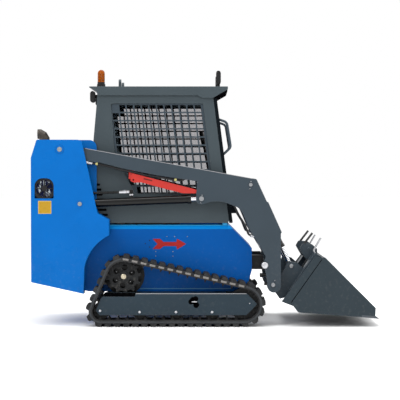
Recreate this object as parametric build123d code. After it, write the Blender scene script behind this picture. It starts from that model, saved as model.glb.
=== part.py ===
from build123d import *
import math
import os

# Mini loader on rubber tracks, in mm. +X is forward, +Z is up, and its right-hand side is at -Y.
# Side view points are (x, z). Outline tables have the columns x, z, corner radius.

# Distances from the middle plane to each layer of the machine.
CAB_HALF = 375.0
CAB_WALL = 30.0
ROOF_HALF = 395.0
TUB_HALF = 362.0
TOWER_IN = 385.0
TOWER_OUT = 520.0
TOWER_PLATE = 12.0
ARM_IN = 410.0
ARM_OUT = 490.0
ARM_MIDDLE = (ARM_IN + ARM_OUT) / 2
TRACK_WIDTH = 230.0
TRACK_MIDDLE = 487.0
TILT_MIDDLE = 357.0
BUCKET_HALF = 600.0
SIDES = (("r", -1), ("l", 1))

# Pivots in the side view.
LIFT_PIVOT = (-1150.0, 1401.0)
BARREL_BASE = (-990.0, 968.0)
ROD_PIN = (-24.0, 1009.0)
TILT_BASE = (368.0, 1120.0)
TILT_PIN = (696.0, 468.0)
COUPLER_PIVOT = (546.0, 323.0)
DOOR_HINGE = (-1372.0, 374.0)
HOOD_HINGE = (-910.0, 1436.0)

# Pins and their running clearance.
LIFT_PIVOT_R = 19.0
BARREL_BASE_R = 16.5
TILT_BASE_R = 15.0
COUPLER_PIVOT_R = 16.5
RUNNING = 0.3
HEAD_THICK = 8.0

# Lift cylinder: where its two ports are along the barrel, and how far the pipe stands off the axis.
LIFT_PORTS = (96.0, 409.0)
PIPE_RISE = 79.0
HINGE_R = 6.5
DOOR_KNUCKLES = (560.0, 1100.0)
KNUCKLE_HIGH = 90.0

# Rear towing eye: its place, its (low, high) z and the radius of its bore.
TOW_EYE = (-1338.0, (362.0, 386.0))
TOW_EYE_R = 13.0

# Track: three wheels with pitch radius, and the belt about its pitch line.
LINKS = 44
TEETH = 12
LINK_PITCH = 72.0
SPROCKET_R = TEETH * LINK_PITCH / (2 * math.pi)
WHEELS = (
    (-642.0, 392.0, SPROCKET_R),
    (307.5, 176.0, 137.0),
    (-816.0, 123.0, 84.0),
)
BELT_HALF = 14.0
LUG_TOP = 39.0
HORN_TOP = -42.0
HORN_OFFSET = 47.0
HORN_WIDTH = 22.0
WINDOW = (40.0, 56.0)
WHEEL_WIDTH = 60.0
SPROCKET_WIDTH = 44.0
ROLLER_R = 57.0
ROLLER_Z = 110.5
ROLLER_X = (-514.0, -226.0, 60.0)

# Cab
CAB_FLOOR = 812.0
CAB_TOP = 1842.0
CAB_FRONT_FOOT = (199.0, CAB_FLOOR)
CAB_FRONT_TOP = (67.0, CAB_TOP)
ROOF_TOP = 1908.0
SCREEN_PITCH = (60.8, 65.8)
SCREEN_HOLE = (49.0, 54.0)
SCREEN_START = (-659.0, 1733.0)
SCREEN_LEAN = 0.1228
SCREEN_ROWS = 11

# Outlines: x, z, corner radius
TOWER_LOWER = (
    (-1334, 1478, 14),
    (-1379, 1333, 30),
    (-1376, 346, 0),
    (-959, 254, 0),
    (-955, 454, 0),
    (-924, 630, 355),
    (-759, 718, 0),
    (-759, 843, 0),
    (-848, 895, 12),
)
TOWER_OUTER = TOWER_LOWER + ((-863, 954, 20), (-878, 1026, 0), (-978, 1478, 40))
TOWER_INNER = TOWER_LOWER + ((-865, 935, 10), (-865, 1478, 60))
TOWER_CAVITY = (
    (-1322, 1466, 0),
    (-1366, 1331, 0),
    (-1364, 356, 0),
    (-700, 209, 0),
    (-700, 1500, 0),
    (-1235, 1500, 0),
    (-1235, 1466, 0),
)
TOWER_VENT = (
    (-1349, 1011, 10),
    (-1197, 1011, 10),
    (-1197, 1172, 62),
    (-1349, 1172, 62),
)
TUB = (
    (-1345, 797, 0),
    (-1345, 402, 0),
    (-1290, 402, 0),
    (-1290, 340, 10),
    (-930, 262, 0),
    (330, 262, 40),
    (381, 431, 15),
    (381, 610, 16),
    (196, 797, 12),
)
FOOTWELL = (
    (-330, 840, 0),
    (-330, 500, 30),
    (330, 500, 30),
    (352, 608, 14),
    (183, 778, 0),
    (125, 840, 0),
)
CAB_SIDE = (
    (-860, CAB_TOP, 0),
    (-892, 1478, 0),
    (-896, CAB_FLOOR, 20),
    (*CAB_FRONT_FOOT, 20),
    (*CAB_FRONT_TOP, 0),
)
CAB_WINDOW = (
    (-752, 1772, 14),
    (-12, 1772, 14),
    (76, 1048, 14),
    (-560, 1048, 30),
    (-722, 1372, 30),
)
CAB_REAR = (
    (-860, CAB_TOP, 0),
    (-892, 1478, 0),
    (-896, CAB_FLOOR, 0),
    (-871, CAB_FLOOR, 0),
    (-867, 1476, 0),
    (-835, CAB_TOP, 0),
)
ROOF = (
    (-927, ROOF_TOP, 5),
    (-925, 1900, 0),
    (-863, 1866, 8),
    (-860, 1837, 4),
    (-54, 1837, 12),
    (-22, 1816, 12),
    (68, 1816, 10),
    (188, 1886, 5),
    (188, ROOF_TOP, 5),
)
ARM = (
    (-1205, 1457, 44),
    (414, 1165, 14),
    (496, 986, 0),
    (508, 981, 0),
    (615, 742, 6),
    (608, 730, 0),
    (608, 262, 53),
    (499, 262, 53),
    (499, 346, 0),
    (474, 510, 8),
    (490, 545, 16),
    (361, 762, 0),
    (292, 928, 110),
    (110, 1003, 240),
    (-69, 948, 40),
    (-66, 1046, 0),
    (-57, 1147, 6),
    (-375, 1195, 0),
    (-609, 1241, 0),
    (-831, 1297, 0),
    (-960, 1308, 0),
    (-1205, 1345, 44),
)
ARM_SLOT = (
    (-140, 1072, 0),
    (-140, 880, 0),
    (45, 880, 0),
    (45, 1072, 20),
)
BRACE = (
    (-577, 1212, 12),
    (-592, 1150, 14),
    (-559, 1137, 6),
    (-503, 1139, 0),
    (-299, 1083, 0),
    (-168, 1051, 30),
    (-50, 1051, 0),
    (-50, 1077, 0),
)
UNDER_HOSE = (
    (-985, 1330),
    (-960, 1298),
    (-860, 1286),
    (-760, 1266),
    (-660, 1238),
    (-560, 1221),
    (-460, 1195),
    (-360, 1181),
    (-260, 1162),
    (-180, 1153),
    (-140, 1185),
)
DROP_HOSE = (
    (205, 1010),
    (238, 950),
    (272, 880),
    (322, 800),
    (352, 722),
    (425, 700),
)
HOSE_R = 8.0
HOSE_BEND = 24.0
BUCKET_OUTER = (
    (690, 190, 0),
    (704, 158, 14),
    (740, 113, 30),
    (1240, 77, 0),
    (1240, 93, 0),
    (1346, 86, 0),
    (1350, 150, 0),
    (950, 549, 14),
    (929, 545, 0),
)
BUCKET_INNER = (
    (703, 194, 0),
    (713, 166, 8),
    (744, 123, 24),
    (1238, 87, 0),
    (1238, 94, 0),
    (1420, 82, 0),
    (1420, 420, 0),
    (1010, 640, 0),
)
CUTTING_EDGE = (
    (1240, 77, 0),
    (1379, 63, 0),
    (1346, 86, 0),
    (1240, 93, 0),
)
COUPLER_EAR = (
    (504, 365, 38),
    (504, 281, 38),
    (560, 268, 0),
    (603, 205, 0),
    (640, 214, 0),
    (812, 432, 0),
    (742, 492, 20),
    (668, 510, 26),
    (640, 440, 60),
    (590, 372, 30),
)
FRAME_PLATE = (
    (-812, 236, 20),
    (-549, 236, 0),
    (-545, 264, 0),
    (332, 264, 12),
    (418, 178, 12),
    (330, 90, 12),
    (-828, 90, 20),
    (-860, 126, 16),
)
LOCK_LUG = (
    (914, 554, 0),
    (912, 600, 14),
    (872, 636, 16),
    (796, 642, 16),
    (772, 600, 14),
    (818, 520, 0),
    (880, 500, 0),
)
LOCK_PIN = (846.0, 600.0)
ACCESS_HOLE = ((-88, 206, 29), (-60, 172, 19))

# Bucket mounting face: where it starts, and its direction up the back of the bucket.
MOUNT_FOOT = (690.0, 190.0)
MOUNT_ANGLE = math.radians(56.0)
MOUNT_LENGTH = 428.0
HOOK_THICK = 18.0
COUPLER_THICK = 40.0
COUPLER_HALF = 470.0


def span(side, inner, outer):
    """The low and high y of a layer on one side."""
    return sorted((side * inner, side * outer))


def outline(rows):
    """A closed face of the side view, from rows of x, z and corner radius."""
    corners = [(x, z) for x, z, _ in rows]
    radii = [radius for _, _, radius in rows]
    return make_face(FilletPolyline(*corners, radius=radii, close=True))


def plate(rows, low, high):
    """An outline carried across the machine from y = low to y = high."""
    side_view = Plane(origin=(0, high, 0), x_dir=(1, 0, 0), z_dir=(0, -1, 0))
    return extrude(side_view * outline(rows), amount=high - low, dir=(0, -1, 0))


def pin(at, radius, low, high):
    """A round bar across the machine at a side view point."""
    return Pos(at[0], (low + high) / 2, at[1]) * Rot(90, 0, 0) * Cylinder(radius, high - low)


def block(x, y, z):
    """A box from its (low, high) pairs."""
    middle = [(low + high) / 2 for low, high in (x, y, z)]
    size = [high - low for low, high in (x, y, z)]
    return Pos(*middle) * Box(*size)


def upright(x, y, radius, low, high):
    """A standing cylinder."""
    return Pos(x, y, (low + high) / 2) * Cylinder(radius, high - low)


def aimed(start, end, y):
    """A frame at start whose z axis points to end."""
    run = (end[0] - start[0], 0, end[1] - start[1])
    return Plane(origin=(start[0], y, start[1]), x_dir=(0, 1, 0), z_dir=run)


def bar(frame, radius, near, far):
    """A cylinder along the z axis of a frame."""
    return frame * Pos(0, 0, (near + far) / 2) * Cylinder(radius, far - near)


def distance(start, end):
    return math.hypot(end[0] - start[0], end[1] - start[1])


def tube_path(points, radius, y):
    """Straight runs and arcs in the side plane at one y, joined smoothly."""
    side_view = Plane(origin=(0, y, 0), x_dir=(1, 0, 0), z_dir=(0, -1, 0))
    return side_view * FilletPolyline(*points, radius=radius)


def tube(points, bend, radius, y):
    """A round bar along a bent path in a side plane."""
    path = tube_path(points, bend, y)
    start = path.edges()[0]
    section = Plane(origin=start @ 0, z_dir=start % 0) * Circle(radius)
    return sweep(section, path=path)


def run_angles():
    """Outward angle of the belt's straight run from each wheel to the next."""
    angles = []
    for (x0, z0, r0), (x1, z1, r1) in zip(WHEELS, WHEELS[1:] + WHEELS[:1]):
        lean = math.asin((r0 - r1) / math.hypot(x1 - x0, z1 - z0))
        angles.append(math.atan2(z1 - z0, x1 - x0) - lean + math.pi / 2)
    return angles


RUN_ANGLES = run_angles()


def wheel_point(wheel, angle, growth):
    x, z, radius = wheel
    reach = radius + growth
    return (x + reach * math.cos(angle), z + reach * math.sin(angle))


def wrap(index):
    """How far the belt turns round a wheel."""
    return (RUN_ANGLES[index - 1] - RUN_ANGLES[index]) % (2 * math.pi)


def run_length(index):
    x0, z0, r0 = WHEELS[index]
    x1, z1, r1 = WHEELS[(index + 1) % len(WHEELS)]
    return math.sqrt((x1 - x0) ** 2 + (z1 - z0) ** 2 - (r0 - r1) ** 2)


def belt_face(growth):
    """The area inside the belt at some height over its pitch line."""
    edges = []
    for index, wheel in enumerate(WHEELS):
        start = RUN_ANGLES[index - 1]
        turn = wrap(index)
        arc = [wheel_point(wheel, start - turn * part, growth) for part in (0, 0.5, 1)]
        following = WHEELS[(index + 1) % len(WHEELS)]
        edges.append(ThreePointArc(*arc))
        edges.append(Line(arc[2], wheel_point(following, RUN_ANGLES[index], growth)))
    return make_face(edges)


def belt_length():
    return sum(wrap(i) * WHEELS[i][2] + run_length(i) for i in range(len(WHEELS)))


def belt_place(travel):
    """Point on the pitch line and outward angle, after some travel from the sprocket."""
    for index, wheel in enumerate(WHEELS):
        arc = wrap(index) * wheel[2]
        if travel <= arc:
            angle = RUN_ANGLES[index - 1] - travel / wheel[2]
            return wheel_point(wheel, angle, 0), angle
        travel -= arc
        if travel <= run_length(index):
            angle = RUN_ANGLES[index]
            x, z = wheel_point(wheel, angle, 0)
            return (x + travel * math.sin(angle), z - travel * math.cos(angle)), angle
        travel -= run_length(index)
    return belt_place(travel)


def link_block(travel, half_base, half_top, base, top, low, high):
    """A tapered block or a ridge on the belt, from base to top over the pitch line."""
    (x, z), angle = belt_place(travel)
    out_x, out_z = math.cos(angle), math.sin(angle)
    corners = [(-half_base, base), (half_base, base), (half_top, top), (-half_top, top)]
    if half_top == 0:
        corners.pop()
    rows = [
        (x + along * out_z + out * out_x, z - along * out_x + out * out_z, 0)
        for along, out in corners
    ]
    return plate(rows, low, high)


def track(side):
    """Rubber track: belt with windows for the sprocket, lugs outside and guide horns inside."""
    middle = side * TRACK_MIDDLE
    low, high = middle - TRACK_WIDTH / 2, middle + TRACK_WIDTH / 2
    side_view = Plane(origin=(0, high, 0), x_dir=(1, 0, 0), z_dir=(0, -1, 0))
    ring = belt_face(BELT_HALF) - belt_face(-BELT_HALF)
    belt = extrude(side_view * ring, amount=high - low, dir=(0, -1, 0))
    pitch = belt_length() / LINKS
    lugs, horns, windows = [], [], []
    for link in range(LINKS):
        window_at = link * pitch
        lug_at = (link + 0.5) * pitch
        half_window = WINDOW[0] / 2
        window_y = (middle - WINDOW[1] / 2, middle + WINDOW[1] / 2)
        windows.append(link_block(window_at, half_window, half_window, -22, 22, *window_y))
        lugs.append(link_block(lug_at, 15, 11, BELT_HALF - 5, LUG_TOP, low, high))
        for row in (-HORN_OFFSET, HORN_OFFSET):
            horn_y = (middle + row - HORN_WIDTH / 2, middle + row + HORN_WIDTH / 2)
            horns.append(link_block(lug_at, 14, 0, -BELT_HALF + 4, HORN_TOP, *horn_y))
    return belt - windows + lugs + horns


def sprocket(side):
    """Toothed drive wheel with six round openings and a hub."""
    middle = side * TRACK_MIDDLE
    low, high = middle - SPROCKET_WIDTH / 2, middle + SPROCKET_WIDTH / 2
    x, z, _ = WHEELS[0]
    disc = pin((x, z), 116, low, high)
    teeth = []
    for index in range(TEETH):
        angle = RUN_ANGLES[-1] + index * 2 * math.pi / TEETH
        out_x, out_z = math.cos(angle), math.sin(angle)
        corners = ((-17, 108), (17, 108), (7, 139), (-7, 139))
        rows = [(x + a * out_z + out * out_x, z - a * out_x + out * out_z, 0) for a, out in corners]
        teeth.append(plate(rows, low, high))
    holes = []
    for index in range(6):
        angle = math.radians(84 + 60 * index)
        at = (x + 72 * math.cos(angle), z + 72 * math.sin(angle))
        holes.append(pin(at, 23, low - 1, high + 1))
    face_low, face_high = span(side, TRACK_MIDDLE, TRACK_MIDDLE + SPROCKET_WIDTH / 2 + 16)
    hub = pin((x, z), 40, face_low, face_high)
    return disc + teeth - holes + hub


def wheel_set(side):
    """Front idler, rear idler and three rollers with their axles, apart from each other."""
    middle = side * TRACK_MIDDLE
    low, high = middle - WHEEL_WIDTH / 2, middle + WHEEL_WIDTH / 2
    axle = (middle - 73, middle + 73)
    wheels = []
    for x, z, radius in WHEELS[1:]:
        wheel = pin((x, z), radius - BELT_HALF - 0.5, low, high)
        wheels.append(wheel + pin((x, z), 24, *axle))
    for x in ROLLER_X:
        roller = pin((x, ROLLER_Z), ROLLER_R, low, high)
        wheels.append(roller + pin((x, ROLLER_Z), 17, *axle))
    return wheels


def track_frame(side):
    """Roller carriage: two side plates under a top plate, with brackets to the main frame."""
    outer = span(side, TRACK_MIDDLE + 73, TRACK_MIDDLE + 83)
    inner = span(side, TRACK_MIDDLE - 83, TRACK_MIDDLE - 73)
    across = span(side, TRACK_MIDDLE - 73, TRACK_MIDDLE + 73)
    body = plate(FRAME_PLATE, *outer) + plate(FRAME_PLATE, *inner)
    body += block((-545, 170), across, (252, 264))
    body += block((-790, -549), span(side, 530, TRACK_MIDDLE + 73), (232, 268))
    for x in (-300, 60):
        body += block((x, x + 120), span(side, TUB_HALF, TRACK_MIDDLE - 83), (140, 240))
    for x, z, radius in ACCESS_HOLE:
        body -= pin((x, z), radius, *span(side, TRACK_MIDDLE + 60, TRACK_MIDDLE + 90))
    return body


def tower(side):
    """Rear tower: outer plate, inner plate, and the walls behind and below, open to the front."""
    outer = span(side, TOWER_OUT - TOWER_PLATE, TOWER_OUT)
    inner = span(side, TOWER_IN, TOWER_IN + TOWER_PLATE)
    between = span(side, TOWER_IN + TOWER_PLATE, TOWER_OUT - TOWER_PLATE)
    whole = span(side, TOWER_IN, TOWER_OUT)
    wall = plate(TOWER_OUTER, *between) - plate(TOWER_CAVITY, *whole)
    body = plate(TOWER_OUTER, *outer) + plate(TOWER_INNER, *inner) + wall
    body -= plate(TOWER_VENT, *outer)
    body += pin(LIFT_PIVOT, 32, *span(side, TOWER_OUT, TOWER_OUT + 6))
    body += pin(HOOD_HINGE, HINGE_R, *span(side, 377, TOWER_IN))
    for at, radius in ((LIFT_PIVOT, LIFT_PIVOT_R), (BARREL_BASE, BARREL_BASE_R)):
        body -= pin(at, radius, *span(side, TOWER_IN - 5, TOWER_OUT + 10))
    hinge_x, hinge_y = DOOR_HINGE
    if side > 0:
        for foot in DOOR_KNUCKLES:
            for low in (foot - 40.5, foot + KNUCKLE_HIGH + 0.5):
                body += upright(hinge_x, hinge_y, HINGE_R, low, low + 40)
                body += block((-1378, -1366), (hinge_y, TOWER_IN), (low, low + 40))
    return body


def main_frame():
    """Lower frame between the tracks, with the engine bay, the footwell and the towing eye."""
    body = plate(TUB, -TUB_HALF, TUB_HALF)
    body -= block((-1333, -905), (-350, 350), (390, 900))
    body -= plate(FOOTWELL, -332, 332)
    for side in (-1, 1):
        wedge = [(side * 341, 798), (side * 363, 798), (side * 363, 762), (side * 362, 762)]
        section = Plane.YZ.offset(-770) * make_face(Polyline(*wedge, close=True))
        body -= extrude(section, amount=960, dir=(1, 0, 0))
    body -= block((-1400, -1326), (-376, 376), (402, 900))
    for side in (-1, 1):
        for low in (480, 690):
            body += block((-1300, -960), span(side, TUB_HALF, TOWER_IN), (low, low + 60))
        for x in (-860, 144):
            body += block((x, x + 40), span(side, 300, 360), (797, CAB_FLOOR))
    eye_x, eye_z = TOW_EYE
    eye = block((eye_x, -1289), (-34, 34), eye_z) + upright(eye_x, 0, 34, *eye_z)
    return body + eye - upright(eye_x, 0, TOW_EYE_R, 340, 400)


def tower_pins(side):
    """Pins of the lift arm and of the lift barrel, held by the tower."""
    return [
        pin(at, radius, *span(side, TOWER_IN - 3, TOWER_OUT + 12))
        for at, radius in ((LIFT_PIVOT, LIFT_PIVOT_R), (BARREL_BASE, BARREL_BASE_R))
    ]


def vent_guard(side):
    """Round fan guard behind the opening of the tower."""
    middle = (-1273, 1090)
    near, far = TOWER_OUT - TOWER_PLATE - 10, TOWER_OUT - TOWER_PLATE
    body = pin(middle, 92, *span(side, near, far)) - pin(middle, 68, *span(side, near - 1, far + 1))
    for turn in (0, 45, 90, 135):
        spoke = Box(150, 6, 7)
        body += Pos(middle[0], side * (near + far) / 2, middle[1]) * Rot(0, turn, 0) * spoke
    body += pin(middle, 22, *span(side, near, far))
    return body


def front_block(side):
    """Black block on the front of the frame, where the lowered arms rest."""
    return block((381, 474), span(side, 210, 330), (438, 550))


def engine():
    """Engine, as one plain block at its place."""
    return block((-1260, -940), (-260, 260), (390, 960))


def radiator():
    """Cooler behind the grille of the rear door."""
    return block((-1316, -1270), (-340, 340), (390, 1240))


def drive_motor(side):
    """Hydraulic drive motor with its flange on the main frame."""
    x, z, _ = WHEELS[0]
    flange = pin((x, z), 160, *span(side, TUB_HALF, TUB_HALF + 8))
    body = pin((x, z), 84, *span(side, TUB_HALF, TRACK_MIDDLE - SPROCKET_WIDTH / 2))
    return flange + body


def rear_panel():
    """Fixed panel over the rear door, bent forward to the hood."""
    rows = (
        (-1373, 1338, 0),
        (-1336, 1442, 8),
        (-1222, 1442, 0),
        (-1222, 1430, 0),
        (-1328, 1430, 4),
        (-1361, 1338, 0),
    )
    return plate(rows, -TOWER_IN, TOWER_IN) - upright(-1295, -260, 39.5, 1400, 1460)


def exhaust():
    """Exhaust elbow of mitred lengths of pipe, which turns from upright to the rear."""
    centre_x, centre_z, bend = -1350, 1474, 55
    steps = [math.radians(15 + 30 * index) for index in range(3)]
    corner = bend / math.cos(math.radians(15))
    corners = [(centre_x + corner * math.cos(a), centre_z + corner * math.sin(a)) for a in steps]
    route = [(-1295, 1405), *corners, (-1352, centre_z + bend)]
    points = [(x, -260, z) for x, z in route]
    path = Polyline(*points)
    start = Plane(origin=points[0], z_dir=(0, 0, 1))
    outer = sweep(start * Circle(39.5), path=path, transition=Transition.RIGHT)
    inner = sweep(start * Circle(35), path=path, transition=Transition.RIGHT)
    return outer - inner


def rear_door():
    """Door behind the engine, with its grille of slots."""
    body = block((-1360, -1332), (-372, 372), (408, 1330))
    body -= block((-1352, -1320), (-352, 352), (428, 1310))
    slots = []
    for row in range(14):
        z = 560 + row * 48
        for y in (-170, 170):
            slots.append(block((-1370, -1340), (y - 140, y + 140), (z, z + 22)))
    body -= slots
    hinge_x, hinge_y = DOOR_HINGE
    for foot in DOOR_KNUCKLES:
        body += upright(hinge_x, hinge_y, HINGE_R, foot, foot + KNUCKLE_HIGH)
        body += block((hinge_x, -1350), (362, hinge_y), (foot, foot + KNUCKLE_HIGH))
    body += block((-1372, -1360), (-345, -315), (820, 940))
    return body


def hood():
    """Lid over the engine, hinged at its front edge."""
    body = block((-1216, -914), (-376, 376), (1430, 1442))
    body += block((-1200, -930), (-340, 340), (1442, 1450))
    for x in (-1170, -1120, -1070, -1020, -970):
        body -= block((x, x + 22), (-260, 260), (1420, 1460))
    for side in (-1, 1):
        knuckle = span(side, 300, 376)
        body += pin(HOOD_HINGE, HINGE_R, *knuckle)
        body += block((-916, HOOD_HINGE[0]), knuckle, (1430, 1442))
    return body


def cab_side(side):
    """Side panel of the cab, with its window and the louvres pressed into its rear corner."""
    layer = span(side, CAB_HALF - CAB_WALL, CAB_HALF)
    body = plate(CAB_SIDE, *layer) - plate(CAB_WINDOW, *layer)
    for row in range(7):
        z = 1111 - row * 40.5
        right = -839 + row * 10.5
        body -= block((-884, right), span(side, CAB_HALF - 6, CAB_HALF + 1), (z, z + 18))
    return body


def screen(side):
    """Punched screen that fills a side window."""
    body = plate(CAB_WINDOW, *span(side, CAB_HALF - 16, CAB_HALF - 10))
    holes = []
    for row in range(SCREEN_ROWS):
        z = SCREEN_START[1] - row * SCREEN_PITCH[1]
        drop = SCREEN_START[1] - z
        first = -715 if row else -664
        if z < 1375:
            first = -706 + (1375 - z) * 0.5
        for column in range(-1, 14):
            x = SCREEN_START[0] + column * SCREEN_PITCH[0] + SCREEN_LEAN * drop
            if x < first or x > 20 + SCREEN_LEAN * (drop - 330):
                continue
            half, lean = SCREEN_HOLE[0] / 2, SCREEN_LEAN * SCREEN_HOLE[1] / 2
            top, bottom = z + SCREEN_HOLE[1] / 2, z - SCREEN_HOLE[1] / 2
            rows = (
                (x - half - lean, top, 0),
                (x + half - lean, top, 0),
                (x + half + lean, bottom, 0),
                (x - half + lean, bottom, 0),
            )
            holes.append(plate(rows, *span(side, CAB_HALF - 20, CAB_HALF - 5)))
    return body - holes


def cab_rear():
    """Rear panel of the cab with its window opening."""
    inside = CAB_HALF - CAB_WALL
    return plate(CAB_REAR, -inside, inside) - block((-930, -800), (-265, 265), (1500, 1770))


def rear_window():
    rows = ((-879, 1500, 0), (-873, 1500, 0), (-849.3, 1770, 0), (-855.3, 1770, 0))
    return plate(rows, -265, 265)


def roof():
    """Roof shell with its visor, lapping over the side panels, and two lifting eyes."""
    body = plate(ROOF, -ROOF_HALF, ROOF_HALF)
    inside = ROOF_HALF - 17
    body -= block((-1000, 97), (-inside, inside), (1700, CAB_TOP))
    body -= block((-835, 55), (-335, 335), (CAB_TOP - 1, ROOF_TOP - 10))
    for y in (-220, 220):
        eye = block((-697, -677), (y - 30, y + 30), (ROOF_TOP - 1, 1945))
        ring = Pos(-687, y, 1945) * Rot(0, 90, 0) * Cylinder(30, 20)
        hole = Pos(-687, y, 1945) * Rot(0, 90, 0) * Cylinder(14, 40)
        body = body + (eye + ring) - hole
    return body


def on_cab_front(z):
    """Point of the side panel's front edge at some height."""
    (foot_x, foot_z), (top_x, top_z) = CAB_FRONT_FOOT, CAB_FRONT_TOP
    return (foot_x + (top_x - foot_x) * (z - foot_z) / (top_z - foot_z), z)


def front_frame():
    """Posts and header round the open front of the cab."""
    inner = CAB_HALF - 45
    rows = (
        (*on_cab_front(1814), 0),
        (*on_cab_front(CAB_FLOOR), 0),
        (228, CAB_FLOOR, 8),
        (99, 1814, 0),
    )
    body = plate(rows, -CAB_HALF, CAB_HALF)
    body -= block((0, 300), (-inner, inner), (700, 1765))
    for side in (-1, 1):
        body += block((208, 250), span(side, CAB_HALF - 35, CAB_HALF), (890, 945))
    return body


def grab_handle(side, post):
    points = ((100, 1650), (180, 1622), (212, 1420), (140, 1352))
    return tube(points, 40, 10, side * 352) - post


def seat_base():
    return block((-650, -200), (-200, 200), (797, 955))


def seat_cushion():
    return block((-660, -190), (-225, 225), (955.3, 1035))


def seat_back():
    return block((-735, -662), (-220, 220), (960, 1320))


def control_lever(side):
    points = ((178, 803), (120, 880), (40, 1200), (-5, 1440))
    stem = tube(points, 60, 9, side * 250) + upright(178, side * 250, 16, 797, 812)
    grip = aimed((-5, 1440), (-30, 1560), side * 250)
    return stem + bar(grip, 17, 0, 112)


def beacon_base():
    return upright(-835, -300, 34, ROOF_TOP, 1930) + upright(-835, -300, 30, 1930, 1946)


def beacon_lens():
    top = Pos(-835, -300, 2034) * Cone(30, 15, 28)
    return upright(-835, -300, 30, 1946, 2020) + top


def work_lamps():
    lamps = []
    for side in (-1, 1):
        y = side * 300
        front = block((98, 131), (y - 50, y + 50), (1930, 2038))
        front += block((94, 98.5), (y - 40, y + 40), (1940, 2028))
        front += block((106, 122), (y - 14, y + 14), (ROOF_TOP, 1931))
        rear = block((-921, -888), (y - 45, y + 45), (1785, 1862))
        rear += block((-900, -866), (y - 12, y + 12), (1815, 1845))
        lamps += [front, rear - cab_rear()]
    return lamps


def arm(side):
    """Lift arm: box beam, gusset with the slot of the lift rod, and the drop to the bucket."""
    body = plate(ARM, *span(side, ARM_IN, ARM_OUT))
    body -= plate(ARM_SLOT, *span(side, ARM_IN + 12, ARM_OUT - 12))
    through = span(side, ARM_IN - 20, ARM_OUT + 20)
    body -= pin(LIFT_PIVOT, LIFT_PIVOT_R + RUNNING, *through)
    body -= pin(TILT_BASE, TILT_BASE_R, *through)
    body -= pin(COUPLER_PIVOT, COUPLER_PIVOT_R, *through)
    body -= pin((480, 478), 27, *through)
    return body


def arm_pins(side):
    """Pins that the arm holds, and the heads over the lift rod's eye."""
    parts = [
        pin(TILT_BASE, TILT_BASE_R, *span(side, 326, ARM_OUT + 6)),
        pin(COUPLER_PIVOT, COUPLER_PIVOT_R, *span(side, 308, ARM_OUT + 8)),
        pin(ROD_PIN, 19, *span(side, ARM_OUT, ARM_OUT + HEAD_THICK)),
        pin(ROD_PIN, 19, *span(side, ARM_IN - HEAD_THICK, ARM_IN)),
        pin((480, 478), 27, *span(side, 396, ARM_OUT + 10)),
    ]
    return parts


def brace(side):
    """Lift arm brace, stowed under the arm and hung from a bracket."""
    layer = span(side, ARM_MIDDLE - 26, ARM_MIDDLE + 26)
    bracket = block((-604, -560), span(side, ARM_MIDDLE - 14, ARM_MIDDLE + 14), (1165, 1260))
    return plate(BRACE, *layer) + bracket - plate(ARM, *span(side, ARM_IN, ARM_OUT))


def cross_tube():
    return pin((492, 620), 40, -ARM_IN, ARM_IN)


def arm_fittings(side):
    """Hydraulic fittings on the rear face of the arm."""
    parts = []
    front = 505
    beam = plate(ARM, *span(side, ARM_IN, ARM_OUT))
    for z, back in ((402, 440), (330, 476)):
        turned = Rot(0, 90, 0) * Cylinder(13, front - back)
        parts.append(Pos((front + back) / 2, side * ARM_MIDDLE, z) * turned - beam)
    return parts


def arm_hoses(side):
    """Hoses under the arm's beam and behind its drop, each from wall to wall of the arm."""
    beam = plate(ARM, *span(side, ARM_IN, ARM_OUT))
    hoses = []
    for route, rows in ((UNDER_HOSE, (-30, 30)), (DROP_HOSE, (-24, 0, 24))):
        for row in rows:
            hose = tube(route, HOSE_BEND, HOSE_R, side * (ARM_MIDDLE + row)) - beam
            hoses.append(hose.solids().sort_by(SortBy.VOLUME)[-1])
    return hoses


def lift_barrel(side):
    """Hollow barrel with its base eye, gland, pipe and clamp."""
    frame = aimed(BARREL_BASE, ROD_PIN, side * ARM_MIDDLE)
    body = bar(frame, 32.5, 20, 884) + bar(frame, 37, 858, 884)
    body += pin(BARREL_BASE, 38, *span(side, ARM_MIDDLE - 30, ARM_MIDDLE + 30))
    for along in LIFT_PORTS:
        body += frame * Pos(0, (PIPE_RISE + 13) / 2, along) * Box(30, PIPE_RISE + 13, 27)
    body += frame * Pos(0, PIPE_RISE, sum(LIFT_PORTS) / 2) * Cylinder(9, LIFT_PORTS[1] - LIFT_PORTS[0])
    body -= bar(frame, 26, 70, 860)
    body -= bar(frame, 20, 850, 890)
    body -= pin(BARREL_BASE, BARREL_BASE_R + RUNNING, *span(side, ARM_IN, ARM_OUT))
    return body


def lift_rod(side):
    frame = aimed(BARREL_BASE, ROD_PIN, side * ARM_MIDDLE)
    reach = distance(BARREL_BASE, ROD_PIN)
    body = bar(frame, 19, reach - 715, reach)
    body += pin(ROD_PIN, 32, *span(side, ARM_MIDDLE - 21, ARM_MIDDLE + 21))
    return body - pin(ROD_PIN, 17, *span(side, ARM_IN, ARM_OUT))


def tilt_barrel(side):
    frame = aimed(TILT_BASE, TILT_PIN, side * TILT_MIDDLE)
    body = bar(frame, 27, 20, 564) + bar(frame, 30, 540, 564)
    body += pin(TILT_BASE, 32, *span(side, TILT_MIDDLE - 25, TILT_MIDDLE + 25))
    body -= bar(frame, 21, 60, 542)
    body -= bar(frame, 17, 530, 570)
    return body - pin(TILT_BASE, TILT_BASE_R + RUNNING, *span(side, 300, 400))


def tilt_rod(side):
    frame = aimed(TILT_BASE, TILT_PIN, side * TILT_MIDDLE)
    reach = distance(TILT_BASE, TILT_PIN)
    body = bar(frame, 16, reach - 500, reach)
    body += pin(TILT_PIN, 29, *span(side, TILT_MIDDLE - 21, TILT_MIDDLE + 21))
    return body - pin(TILT_PIN, 15, *span(side, 300, 400))


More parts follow.
